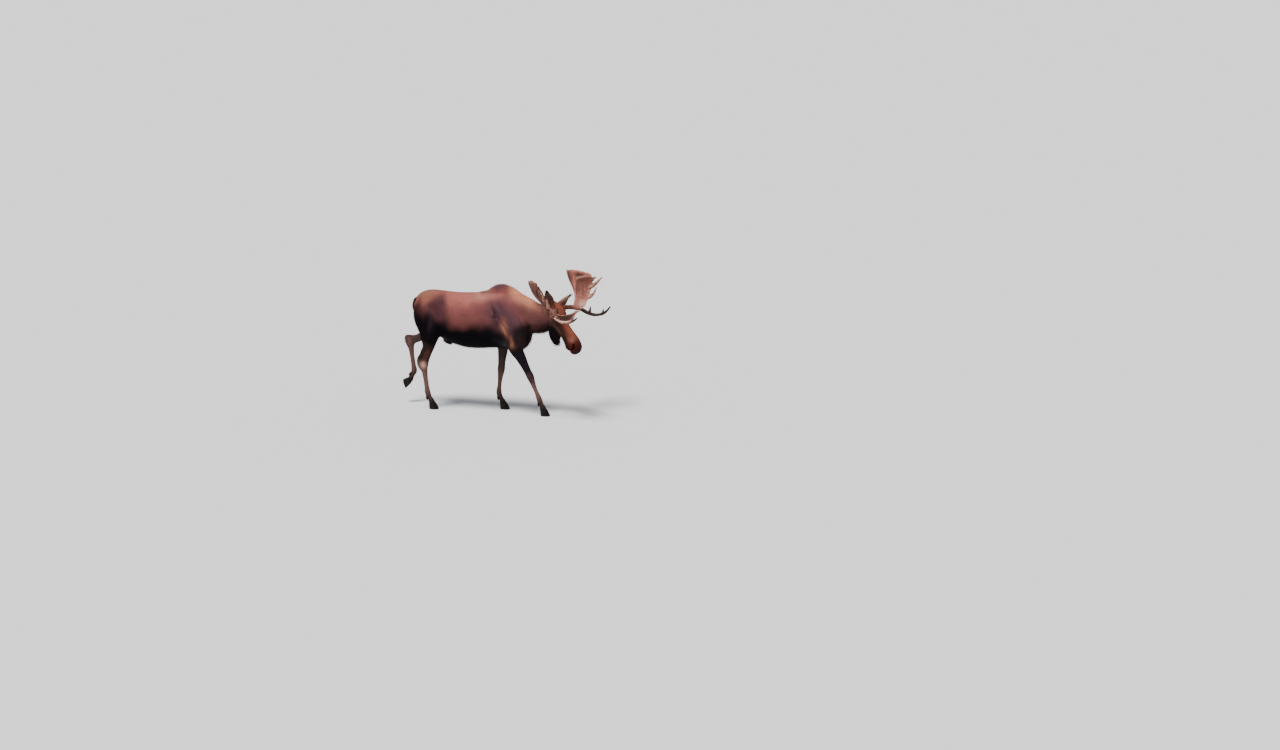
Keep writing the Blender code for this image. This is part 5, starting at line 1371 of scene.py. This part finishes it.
def growTufts(name, roots, lengths, widths, lifts, hang, rings):
    # Each tuft is a tapering three-sided lock. Its middle line leaves the skin at its lift, runs along the
    # hair's way and bends back towards the skin: root + length * (way * cos(lift) * s + normal * sin(lift) *
    # (s - s^2 / 2) + down * hang * s^2), and its width falls as (1 - s)^0.7 to a point.
    count, normals = len(lengths), roots["normals"]
    ways = roots["ways"] + draws.normal(0, tuftLook["stray"], (count, 3))
    ways -= normals * (ways * normals).sum(1, keepdims=True)
    ways /= np.maximum(np.linalg.norm(ways, axis=1, keepdims=True), 1e-6)
    across = np.cross(normals, ways)
    s = np.linspace(0, 1, rings + 1)[None, :, None]
    lift = np.radians(lifts)[:, None, None]
    bend = ways[:, None] * np.cos(lift) * s + normals[:, None] * np.sin(lift) * (s - 0.5 * s**2)
    bend += np.array((0, 0, -1.0)) * hang * s**2
    middle = roots["points"][:, None] - normals[:, None] * tuftLook["sunk"] + lengths[:, None, None] * bend
    angle = np.radians((-90, 30, 150))
    rootNarrow = np.array([0.75] + [1.0] * (rings - 1))[None, :, None]
    size = ((widths[:, None, None] / 2) * (1 - s[:, :-1]) ** 0.7 * rootNarrow)[..., None]
    ring = across[:, None, None] * (size * np.cos(angle)[:, None])
    ring += normals[:, None, None] * (size * tuftLook["flat"] * np.sin(angle)[:, None])
    body = middle[:, :-1, None] + ring
    points = np.concatenate([body.reshape(count, rings * 3, 3), middle[:, -1:]], 1)
    pairs, last = ((0, 1), (1, 2), (2, 0)), rings * 3
    corners = [[2, 1, 0]]
    for low in range(0, last - 3, 3):
        corners += [[low + a, low + b, low + b + 3, low + a + 3] for a, b in pairs]
    corners += [[last - 3 + a, last - 3 + b, last] for a, b in pairs]
    heights = np.repeat(np.linspace(0, 1, rings + 1), [3] * rings + [1])
    sideways = np.concatenate([np.tile((0.5, 1.0, 0), rings), [0.5]])
    return meshOfTufts(name, points, corners, heights, sideways, roots)


def meshOfTufts(name, points, corners, heights, sideways, roots):
    # All the locks of one piece in one mesh: each darker at its root as painted shade near the skin, and on a
    # small spot of the unwrap round its root's own place.
    count, size = points.shape[:2]
    sizes = [len(face) for face in corners]
    loops = (np.concatenate(corners)[None, :] + size * np.arange(count)[:, None]).ravel()
    starts = np.concatenate([[0], np.cumsum(np.tile(sizes, count))[:-1]])
    mesh = bpy.data.meshes.new(name)
    mesh.vertices.add(count * size)
    mesh.vertices.foreach_set("co", (points + bodyToFrame).ravel())
    mesh.loops.add(len(loops))
    mesh.loops.foreach_set("vertex_index", loops)
    mesh.polygons.add(len(starts))
    mesh.polygons.foreach_set("loop_start", starts)
    mesh.update(calc_edges=True)
    mesh.shade_smooth()
    vary = draws.normal(1.0, tuftLook["vary"], (count, 1, 1)).clip(0.6, 1.5)
    # Darker towards the root: painted shade near the skin.
    paintPoints(mesh, "coatTone", roots["tone"][:, None] * ((0.72 + 0.42 * heights)[None, :, None] * vary))
    spot = np.stack([sideways - 0.5, heights - 0.5], -1) * tuftLook["bakeSpot"]
    places = roots["places"][:, None] + spot[None]
    mesh.uv_layers.new(name="OFBake").data.foreach_set("uv", places.reshape(-1, 2)[loops].ravel())
    return newObject(name, mesh)


def paintPoints(mesh, name, colour):
    full = np.ones((colour.size // 3, 4))
    full[:, :3] = colour.reshape(-1, 3)
    mesh.color_attributes.new(name, "FLOAT_COLOR", "POINT").data.foreach_set("color", full.ravel())


def withPlaces(roots):  # the roots together with their places on the unwrap
    limbIndex = roots["shares"].argmax(1)
    return {**roots, "places": packPlaces(rootPlaces(roots, limbIndex), limbIndex)}


def coverCoat(skin, survey):
    # The short coat all over, one piece for each part of the body.
    share = 1.0
    roots = drawRoots(survey, trianglesOf(skin), survey["look"][:, 0] * (1 - survey["bare"]) * share)
    limbIndex = roots["shares"].argmax(1)
    loin, left = roots["points"][:, 0] < -0.42, roots["points"][:, 1] > 0

    def onLimbs(*starts):
        return np.isin(limbIndex, [index for index, name in enumerate(limbNames) if name.startswith(starts)])

    pieces = {}
    for group in ("trunk", "neck", "head", "fore", "hind"):
        for sideName, onSide in (("Left", left), ("Right", ~left)):
            mine = onLimbs(group) & onSide
            if group == "trunk":
                pieces["coatLoin" + sideName], pieces["coatRibs" + sideName] = mine & loin, mine & ~loin
            else:
                pieces["coat" + group.capitalize() + sideName] = mine
    pieces["coatEarsBellTail"] = onLimbs("bell", "tail", "ear")
    made = []
    for name, mine in pieces.items():
        part = withPlaces({key: values[mine] for key, values in roots.items()})
        vary = draws.normal(1.0, 0.18, mine.sum()).clip(0.55, 1.5)
        _, length, width, lift = part["look"].T
        made.append(growTufts(name, part, length * vary, width * vary**0.5, lift * vary, 0.0, 2))
    return made


def longPlaces(points, normals, share):  # where each kind of long hair grows
    x, y, z = points.T
    ahead, _, upwards = normals.T
    head = headPlaces(points)
    chest = patch(x, z, 0.33, 1.05, 0.1, 0.1) * smooth(0.1, 0.05, np.abs(y)) * smooth(0.2, 0.5, ahead)
    middle = smooth(-0.82, -0.74, x) * smooth(0.35, 0.25, x) * smooth(0.11, 0.06, np.abs(y))
    rear = smooth(-0.55, -0.8, ahead) * smooth(-1.0, -1.12, x)
    return {
        "crest": crestShare(points) ** 0.5 * smooth(0.3, 0.8, upwards), "bell": share["bell"],
        "throat": share["neck"] * smooth(-0.2, -0.6, upwards) + chest,
        "belly": smooth(-0.55, -0.85, upwards) * middle * share["trunk"],
        "ham": rear * smooth(1.48, 1.38, z) * smooth(1, 1.1, z),
        "chin": patch(head[:, 0], head[:, 1], 0.62, -0.245, 0.1, 0.02) * share["head"],
        "earEdge": sum(earRim(points, sideName) * share["ear" + sideName.capitalize()] for sideName in sides),
        "coronet": sum(coronetShare(points, name) for name in legs),
        "pedicle": sum(pedicleShare(points, side) for side in sides.values()),
    }


def longCoat(skin, survey):
    # Longer tufts where hair breaks the outline, shorter towards both ends of the crest, and straight out
    # round the antlers.
    made, corners = [], trianglesOf(skin)
    places = longPlaces(survey["points"], survey["normals"], sharesByName(survey["shares"]))
    for key, (count, length, width, lift, hang) in longHair.items():
        count //= 1
        roots = withPlaces(drawRoots(survey, corners, places[key] * (1 - survey["bare"]), count))
        vary = draws.normal(1.0, 0.22, count).clip(0.4, 1.5)
        lengths = length * vary
        if key == "crest":
            lengths = lengths * (0.35 + 0.65 * patch(roots["points"][:, 0], 0, 0.02, 0, 0.2, 1))
        if key == "pedicle":
            outwards = np.array(leftWay) * np.sign(headPlaces(roots["points"])[:, 2:])
            roots["ways"] = outwards + roots["ways"] * 0.5
        name, widths = "long" + key.capitalize(), np.full(count, width)
        made.append(growTufts(name, roots, lengths, widths, lift * vary, hang * 0.5, 3))
    return made


def earRim(points, sideName):  # 1 along the ear's edges, which lie towards its mouth, and at its tip
    root, way, mouth, _ = earFrame(sideName)
    offset = points - root
    along = np.clip(offset @ way / earShape["length"], 0, 1)
    return smooth(0.012, 0.035, offset @ mouth) * smooth(0.02, 0.12, along) + smooth(0.8, 0.92, along)


def pedicleShare(points, side):  # the ring of skin round an antler's root
    gap = gapTo(points, pedicle(side))
    return smooth(0.03, 0.036, gap) * smooth(0.066, 0.056, gap)


def coronetShare(points, name):  # the band of skin above a hoof
    past, gap = pastCoronet(points, name)
    return smooth(-0.035, -0.012, past) * (gap < 0.1)


# Materials
def put(tree, kind, links=None, **settings):
    # A node with its settings; links gives each named input a value or the output that feeds it.
    node = tree.nodes.new("ShaderNode" + kind)
    for key, value in settings.items():
        setattr(node, key, value)
    for key, value in (links or {}).items():
        if isinstance(value, bpy.types.NodeSocket):
            tree.links.new(value, node.inputs[key])
        else:
            node.inputs[key].default_value = value
    return node


def effect(name, inputs, outputs):
    # A shader node group with the given sockets: (name, kind, first value).
    tree = bpy.data.node_groups.new(name, "ShaderNodeTree")
    for socketName, kind, first in inputs:
        socket = tree.interface.new_socket(socketName, in_out="INPUT", socket_type="NodeSocket" + kind)
        if first is not None:
            socket.default_value = first
    for socketName, kind in outputs:
        tree.interface.new_socket(socketName, in_out="OUTPUT", socket_type="NodeSocket" + kind)
    return tree, tree.nodes.new("NodeGroupInput").outputs, tree.nodes.new("NodeGroupOutput").inputs


def times(tree, first, second):
    return put(tree, "VectorMath", {0: first, 1: second}, operation="MULTIPLY").outputs[0]


def ranged(tree, value, low, high, first=0.0, last=1.0):
    # The value's way from low to high, told as the way from first to last.
    links = {"Value": value, "From Min": low, "From Max": high, "To Min": first, "To Max": last}
    return put(tree, "MapRange", links).outputs[0]


def attribute(tree, name, output="Color"):
    return put(tree, "Attribute", attribute_name=name).outputs[output]


def mottleEffect():
    # The colour times (1 - 2 * amount + 4 * amount * noise): soft lighter and darker patches.
    sockets = (("Color", "Color", None), ("Scale", "Float", 20.0), ("Amount", "Float", 0.2))
    tree, given, made = effect("mottle", sockets, (("Color", "Color"),))
    place = put(tree, "TexCoord").outputs["Object"]
    noise = put(tree, "TexNoise", {"Vector": place, "Scale": given["Scale"], "Detail": 4.0, "Roughness": 0.6})
    swing = put(tree, "Math", {0: noise.outputs[0], 1: 0.5}, operation="SUBTRACT")
    scaled = put(tree, "Math", {0: swing.outputs[0], 1: given["Amount"]}, operation="MULTIPLY")
    factor = put(tree, "Math", {0: scaled.outputs[0], 1: 4.0, 2: 1.0}, operation="MULTIPLY_ADD")
    tree.links.new(times(tree, given["Color"], factor.outputs[0]), made["Color"])
    return tree


def grainEffect():
    # Height of fine hair or horn: noise drawn out along one way by squeezing the other two.
    sockets = (("Fine", "Vector", (400.0, 400.0, 90.0)), ("Tilt", "Vector", (0.0, 0.0, 0.0)))
    tree, given, made = effect("grain", sockets, (("Height", "Float"),))
    place = put(tree, "TexCoord").outputs["Object"]
    links = {"Vector": place, "Rotation": given["Tilt"]}
    turned = put(tree, "VectorRotate", links, rotation_type="EULER_XYZ").outputs[0]
    squeezed = times(tree, turned, given["Fine"])
    noise = put(tree, "TexNoise", {"Vector": squeezed, "Scale": 1.0, "Detail": 3.0, "Roughness": 0.55})
    tree.links.new(noise.outputs[0], made["Height"])
    return tree


def material(name, constants):
    # A surface, its tree and its shader's inputs, some of which are set to constants.
    made = bpy.data.materials.new(name)
    made.use_nodes = True
    tree = made.node_tree
    shader = tree.nodes["Principled BSDF"].inputs
    for key, value in constants.items():
        shader[key].default_value = value
    return made, tree, shader


def grouped(tree, group, **links):
    return put(tree, "Group", links, node_tree=group).outputs[0]


def mottled(tree, colour, scale, amount):
    return grouped(tree, mottle, Color=colour, Scale=scale, Amount=amount)


def bumped(tree, shader, height, strength, distance):
    bump = put(tree, "Bump", {"Height": height, "Strength": strength, "Distance": distance})
    tree.links.new(bump.outputs[0], shader["Normal"])


mottle, grain = mottleEffect(), grainEffect()


def skinMaterial():
    # Short hair: the coat's tone, streaked along the lie of the trunk's hair or, on the legs, of theirs.
    made, tree, shader = material("shortCoat", {"Roughness": 0.7, "Specular IOR Level": 0.04})
    body = grouped(tree, grain, Fine=(90.0, 420.0, 420.0), Tilt=(0.0, -0.45, 0.0))
    leg = grouped(tree, grain, Fine=(420.0, 420.0, 90.0))
    onLeg = attribute(tree, "legHair", "Fac")
    hair = put(tree, "Mix", {"Factor": onLeg, "A": body, "B": leg}).outputs["Result"]
    streaked = times(tree, attribute(tree, "coatTone"), ranged(tree, hair, 0.3, 0.7, 0.55, 1.25))
    tree.links.new(mottled(tree, streaked, 7.0, 0.1), shader["Base Color"])
    bumped(tree, shader, hair, 0.55, 0.004)
    return made


def tuftMaterial():
    made, tree, shader = material("tufts", {"Roughness": 0.6, "Specular IOR Level": 0.06})
    tree.links.new(mottled(tree, attribute(tree, "coatTone"), 7.0, 0.1), shader["Base Color"])
    return made


def velvetMaterial():
    # The velvet's tone in two sizes of mottle, under a soft sheen and a fine fuzz.
    sheen = {"Sheen Weight": 0.06, "Sheen Roughness": 0.4}
    made, tree, shader = material("velvet", {"Roughness": 0.8, "Specular IOR Level": 0.08, **sheen})
    soft = mottled(tree, attribute(tree, "velvetTone"), 16.0, 0.16)
    tree.links.new(mottled(tree, soft, 95.0, 0.14), shader["Base Color"])
    bumped(tree, shader, grouped(tree, grain, Fine=(700.0, 700.0, 700.0)), 0.35, 0.0015)
    return made


hornTones = ((0.012, 0.008, 0.006, 1), (0.004, 0.0028, 0.0024, 1), (0.008, 0.0055, 0.0045, 1))


def hornMaterial():
    # Dark horn with fine growth rings across it, a little paler and duller near the coronet and the edge.
    made, tree, shader = material("horn", {"Roughness": 0.42, "Specular IOR Level": 0.14})
    place = put(tree, "TexCoord").outputs["Object"]
    height = put(tree, "SeparateXYZ", {"Vector": place}).outputs["Z"]
    ramp = put(tree, "ValToRGB", {"Fac": ranged(tree, height, 0.0, 0.1)})
    ends, middle = ramp.color_ramp.elements, ramp.color_ramp.elements.new(0.45)
    for stop, tone in zip((ends[0], middle, ends[-1]), hornTones):
        stop.color = tone
    tree.links.new(mottled(tree, ramp.outputs[0], 60.0, 0.25), shader["Base Color"])
    rings = grouped(tree, grain, Fine=(25.0, 25.0, 520.0))
    tree.links.new(ranged(tree, rings, 0.3, 0.7, 0.34, 0.55), shader["Roughness"])
    bumped(tree, shader, rings, 0.4, 0.0012)
    return made


def mixColour(tree, factor, first, second):
    return put(tree, "Mix", {0: factor, 6: first, 7: second}, data_type="RGBA").outputs[2]


def eyeMaterial():
    # From the gaze's place on the globe: a level oval pupil, a dark brown iris with spokes, a darker rim.
    wet = {"Coat Weight": 0.12, "Coat Roughness": 0.03}
    made, tree, shader = material("eye", {"Roughness": 0.2, "Specular IOR Level": 0.06, **wet})
    place = attribute(tree, "gazePlace", "Vector")
    oval, flatPlace = times(tree, place, (1.0, 1.9, 0.0)), times(tree, place, (1.0, 1.0, 0.0))
    lengths = [put(tree, "VectorMath", {0: way}, operation="LENGTH") for way in (oval, flatPlace)]
    pupil, reach = (node.outputs["Value"] for node in lengths)
    spokes = put(tree, "TexNoise", {"Vector": flatPlace, "Scale": 9.0, "Detail": 3.0}).outputs[0]
    iris = mixColour(tree, spokes, (0.006, 0.0025, 0.0012, 1), (0.022, 0.01, 0.004, 1))
    inner = mixColour(tree, ranged(tree, pupil, 0.3, 0.36), (0.0003, 0.0003, 0.0004, 1), iris)
    colour = mixColour(tree, ranged(tree, reach, 0.66, 0.76), inner, (0.004, 0.0025, 0.002, 1))
    tree.links.new(colour, shader["Base Color"])
    return made


def bareMaterial():
    dark = {"Base Color": (0.003, 0.002, 0.0018, 1)}
    made, tree, shader = material("bareSkin", {"Roughness": 0.5, "Specular IOR Level": 0.08, **dark})
    bumped(tree, shader, grouped(tree, grain, Fine=(900.0, 900.0, 500.0)), 0.3, 0.0006)
    return made


# Colours of the velvet
# Besides the velvet's own tones, rim and light also serve as painted highlights, and outer, band, hollow and
# dark as painted shade.
velvetTones = {
    "palm": (0.17, 0.06, 0.046), "light": (0.4, 0.15, 0.108), "rim": (0.52, 0.26, 0.19),
    "outer": (0.1, 0.036, 0.025), "dark": (0.01, 0.005, 0.004), "band": (0.085, 0.036, 0.027),
    "beam": (0.2, 0.09, 0.062), "brow": (0.56, 0.32, 0.25), "burr": (0.07, 0.024, 0.015),
    "hollow": (0.03, 0.011, 0.008),
}


def velvetTone(points, normals, curved, hollow, sideName):
    # The palm's cupped face is pink with light streaks fanning out; its raised rims are lightened as painted
    # highlight, its faces turned away from the brow's up way are browner and its hollows darker as painted
    # shade; the beam is pale brown, the tips dark and the root darkest; each palm then has its own markings,
    # painted shade and painted highlight.
    share, across, onPalm = palmPlaces(points, sideName)
    side = sides[sideName]
    tips = tipShare(points, sideName)
    toBrow = normals @ browWay
    cupped = smooth(-0.3, 0.4, toBrow)
    face = onPalm * cupped
    rootGap = gapTo(points, inHead(0.11, -0.004, side * 0.112))
    forkGap = gapTo(points, antlerPlace(side, 0.02, 0.0, 0.03))
    browLine = [antlerPlace(side, *place[:3]) for place in browBranches[sideName]]
    browGap, outAlong, _ = lineFoot(points, browLine)
    fan = 0.5 + 0.5 * np.sin(across * 34 + 5.0 * share + 0.8 * blotches(points, 0.16))
    rimHighlight = smooth(0.00045, 0.0016, curved) * (0.75 - 0.5 * onPalm * (1 - cupped))
    layers = [
        # The outer tone on faces turned away from the brow's up way is painted shade.
        ("palm", face), ("outer", onPalm * (1 - cupped) * 0.8),
        ("light", face * fan * 0.25 * smooth(0.1, 0.4, share)),
        ("light", face * smooth(0.5, 0.1, share) * 0.6),
    ]
    if sideName == "right":
        layers += rightBrowLayers(points, onPalm, toBrow, forkGap, browGap, outAlong)
    layers += [
        ("outer", smooth(0.2, 1.6, blotches(points, 0.11)) * 0.35),
        # Darker where the velvet lies below its wide surroundings: painted shade in the hollows.
        ("hollow", smooth(0.0002, 0.0045, hollow) * (0.9 - 0.55 * onPalm)),
        # Lighter on raised rims: painted highlight.
        ("rim", rimHighlight * smooth(0.16, 0.24, rootGap)),
    ]
    if sideName == "left":
        layers += leftPalmLayers(points, share, across, onPalm, face, forkGap, browGap)
        # On the left antler the tips stay dark near the brow and elsewhere only on their down-facing sides,
        # which is painted shade.
        tips *= np.maximum(smooth(0.14, 0.1, browGap), smooth(0.3, -0.3, normals[:, 2]))
    else:
        uneven = blotches(points, 0.085) + 0.45 * blotches(points, 0.035, 9)
        # The right palm's concave face is darkened by the outer tone as painted shade.
        layers += [("outer", face * 0.45), ("dark", smooth(0.5, 1.45, uneven) * onPalm * 0.7)]
    layers += [("dark", tips * 0.92), ("burr", smooth(0.215, 0.07, rootGap) * 0.95)]
    return layered(plain(velvetTones["beam"], points), velvetTones, layers)


def rightBrowLayers(points, onPalm, toBrow, forkGap, browGap, outAlong):
    # The right brow palm is pale, with painted shade on its far-out faces turned away from the brow's up way,
    # and painted shade of deep brown in the hollow of its cup.
    pairs = zip(browCup["inner"], browCup["keel"])
    cupLine = [antlerPlace(sides["right"], *np.mean(pair, axis=0)) for pair in pairs]
    onBrow = smooth(0.16, 0.11, browGap) * smooth(0.6, 0.2, onPalm) * smooth(0.04, 0.1, forkGap)
    cupShade = smooth(0.08, 0.06, lineGap(points, cupLine)) * smooth(0, 0.4, toBrow) * smooth(0.9, 0.5, onPalm)
    return [
        # The dark layer here is painted shade on faces turned away from the brow's up way.
        ("brow", onBrow), ("dark", onBrow * smooth(0.45, -0.25, toBrow) * smooth(0.14, 0.3, outAlong) * 0.9),
        # The hollow layer is painted shade inside the cup.
        ("hollow", cupShade),
    ]


def leftPalmLayers(points, share, across, onPalm, face, forkGap, browGap):
    # Painted shadow lies as a dark band under the left palm's curled margin, beyond a ledge lightened as
    # painted highlight, and the margin's top is lightened as painted highlight; a pale stem runs up the palm
    # with painted shadow as a dark band beside it, a dark band runs along the rear edge, and the fork is
    # pale.
    ledge = 0.81 + 0.27 * (across - 0.36) - 0.01 * np.sin(across * 9 + 0.5) - 0.01 * blotches(points, 0.13)
    stem = (across - np.interp(share, (0.4, 1.0), (0.06, 0.3))) / np.interp(share, (0.4, 1.0), (0.045, 0.11))
    beyond = smooth(0.7, 1.5, stem)
    beside = falloff(stem - 1.7, 0.6) * smooth(0.34, 0.46, share) * smooth(0.8, 0.62, share)
    edge = smooth(0.07, 0.02, across) * smooth(0.35, 0.5, share) * smooth(0.95, 0.8, share)
    nearBrow = smooth(0.075, 0.045, browGap) * smooth(0.6, 0.1, onPalm)
    return [
        ("outer", face * smooth(ledge - 0.32, ledge - 0.04, share) * beyond * 0.75),
        # Painted shadow under the curled margin.
        ("band", face * smooth(ledge, ledge + 0.04, share) * beyond * 0.85),
        # Painted highlight on the ledge.
        ("rim", face * falloff(share - ledge, 0.026) * beyond * 0.75),
        # Painted highlight on the margin's top.
        ("light", onPalm * smooth(0.93, 0.97, share) * 0.8),
        ("light", face * falloff(stem, 1) * smooth(0.38, 0.6, share) * 0.95),
        # The first band here is painted shadow beside the stem; the second runs along the rear edge.
        ("band", face * beside * 0.75), ("band", face * edge * 0.8),
        ("brow", smooth(0.12, 0.03, forkGap) * 0.7), ("dark", nearBrow * smooth(0.03, 0.08, forkGap) * 0.92),
    ]


# Putting the moose together
def finishPiece(piece, look, replaced=()):
    # The piece takes its material, its place in the frame and its part of the record.
    piece.data.materials.clear()
    piece.data.materials.append(looks[look])
    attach(piece, "root")
    if replaced:
        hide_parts(*replaced)


def toFrame(piece):
    setPoints(piece, pointsOf(piece) + bodyToFrame)
    return piece


def bothHeights(antler):
    # How far the velvet stands above its near surroundings, and how far it lies below its wide ones: each is
    # the difference along the normal from the points smoothed over 6 or 110 rounds.
    points, normals, edges = pointsOf(antler), normalsOf(antler), edgesOf(antler)
    count, means, mean = neighbourCount(edges, len(points)), [], points
    for rounds in (6, 110):
        for _ in range(rounds):
            mean = neighbourMean(edges, mean, count)
        means.append(mean)
    near, far = means
    return ((points - near) * normals).sum(1), ((far - points) * normals).sum(1)


looks = {
    "skin": skinMaterial(), "tufts": tuftMaterial(), "velvet": velvetMaterial(), "horn": hornMaterial(),
    "eye": eyeMaterial(), "bare": bareMaterial(),
}
skin = buildSkin()
survey = coatSurvey(skin)
print("skin:", len(skin.data.polygons), "faces")
paintPoints(skin.data, "coatTone", survey["tone"])
legHair = sum(survey["shares"][:, limbNames.index(name)] for name in (*legs, "bell", "tail", "neck"))
skin.data.attributes.new("legHair", "FLOAT", "POINT").data.foreach_set("value", legHair.astype(np.float32))
coat = coverCoat(skin, survey) + longCoat(skin, survey)
legNodes = [f"{kind}_{sideName}" for kind in ("foreleg", "hindleg") for sideName in sides]
skinNodes = ("trunk", "neck", "head", "bell", "tail", "ear_left", "ear_right", *legNodes)
finishPiece(toFrame(skin), "skin", skinNodes)
for piece in coat:
    finishPiece(piece, "tufts")
print("coat:", sum(len(piece.data.polygons) for piece in coat), "faces in", len(coat), "pieces")

for sideName, side in sides.items():
    eye = meshObject("eye" + sideName.capitalize(), *eyeForm(side))
    out, front, up = gazeFrame(side)
    offset = pointsOf(eye) - eyePlace(side)
    gaze = np.stack([offset @ front, offset @ up, np.where(offset @ out > 0, 0, 1)], -1) / eyeLook["radius"]
    eye.data.attributes.new("gazePlace", "FLOAT_VECTOR", "POINT").data.foreach_set("vector", gaze.ravel())
    finishPiece(toFrame(eye), "eye", (f"eye_{sideName}",))
    lid = meshObject("lid" + sideName.capitalize(), *lidForm(side))
    finishPiece(toFrame(lid), "bare")
print("eyes")

for sideName in sides:
    antler = buildAntler(sideName)
    colour = velvetTone(pointsOf(antler), normalsOf(antler), *bothHeights(antler), sideName)
    paintPoints(antler.data, "velvetTone", colour)
    antlerNodes = [f"antler_{sideName}_{part}" for part in ("beam", "palm", "brow")]
    finishPiece(toFrame(antler), "velvet", antlerNodes)
    print("antler", sideName, len(antler.data.polygons), "faces")

for name, leg in legs.items():
    sideName = "left" if leg["side"] > 0 else "right"
    for which, sign in (("outer", leg["side"]), ("inner", -leg["side"])):
        for part, form in (("hoof", clawForm), ("dewclaw", dewclawForm)):
            claw = meshObject(f"{part}{name[0].upper()}{name[1:]}{which.capitalize()}", *form(name, sign))
            finishPiece(toFrame(claw), "horn", (f"{part}_{kindOf(name)}_{sideName}_{which}",))
print("hooves")

# Floor, light and camera
stageLook = {
    "floor": (0.62, 0.61, 0.6, 1), "radius": 400, "under": 0.0005, "sky": (0.86, 0.9, 1.0, 1),
    "skyStrength": 0.55, "sun": 6.2, "sunSpread": 20, "sunTurn": (14, -16, 20),
}
cameraLook = {
    "azimuth": 16.0, "elevation": 13.0, "distance": 150.0, "lens": 295.0, "aside": 1.964, "below": 1.31,
    "from": (0, 0, 1.873),
}

turn = np.linspace(0, 2 * math.pi, 96, endpoint=False)
radius = stageLook["radius"]
disc = np.stack([radius * np.cos(turn), radius * np.sin(turn), 0 * turn - stageLook["under"]], -1)
floorMesh = bpy.data.meshes.new("floor")
floorMesh.from_pydata(disc.tolist(), [], [list(range(len(disc)))])
floorMesh.materials.append(material("floorPaint", {"Roughness": 0.9, "Base Color": stageLook["floor"]})[0])
newObject("floor", floorMesh)

world = bpy.data.worlds.new("studio")
world.use_nodes = True
sky = world.node_tree.nodes["Background"].inputs
sky["Color"].default_value = stageLook["sky"]
sky["Strength"].default_value = stageLook["skyStrength"]
bpy.context.scene.world = world
sun = bpy.data.lights.new("sun", "SUN")
sun.energy = stageLook["sun"]
sun.angle = math.radians(stageLook["sunSpread"])
newObject("sun", sun).rotation_euler = [math.radians(part) for part in stageLook["sunTurn"]]

azimuth, elevation = math.radians(cameraLook["azimuth"]), math.radians(cameraLook["elevation"])
flat = math.cos(elevation)
back = Vector((math.sin(azimuth) * flat, -math.cos(azimuth) * flat, math.sin(elevation)))
right = Vector((math.cos(azimuth), math.sin(azimuth), 0))
upward = back.cross(right)
target = Vector(cameraLook["from"]) + Vector(bodyToFrame) + right * cameraLook["aside"]
target -= upward * cameraLook["below"]
cameraData = bpy.data.cameras.new("camera")
cameraData.lens = cameraLook["lens"]
cameraData.sensor_width = 36
cameraData.clip_end = 900
camera = newObject("camera", cameraData)
camera.location = target + back * cameraLook["distance"]
camera.rotation_euler = (-back).to_track_quat("-Z", "Y").to_euler()
bpy.context.scene.camera = camera
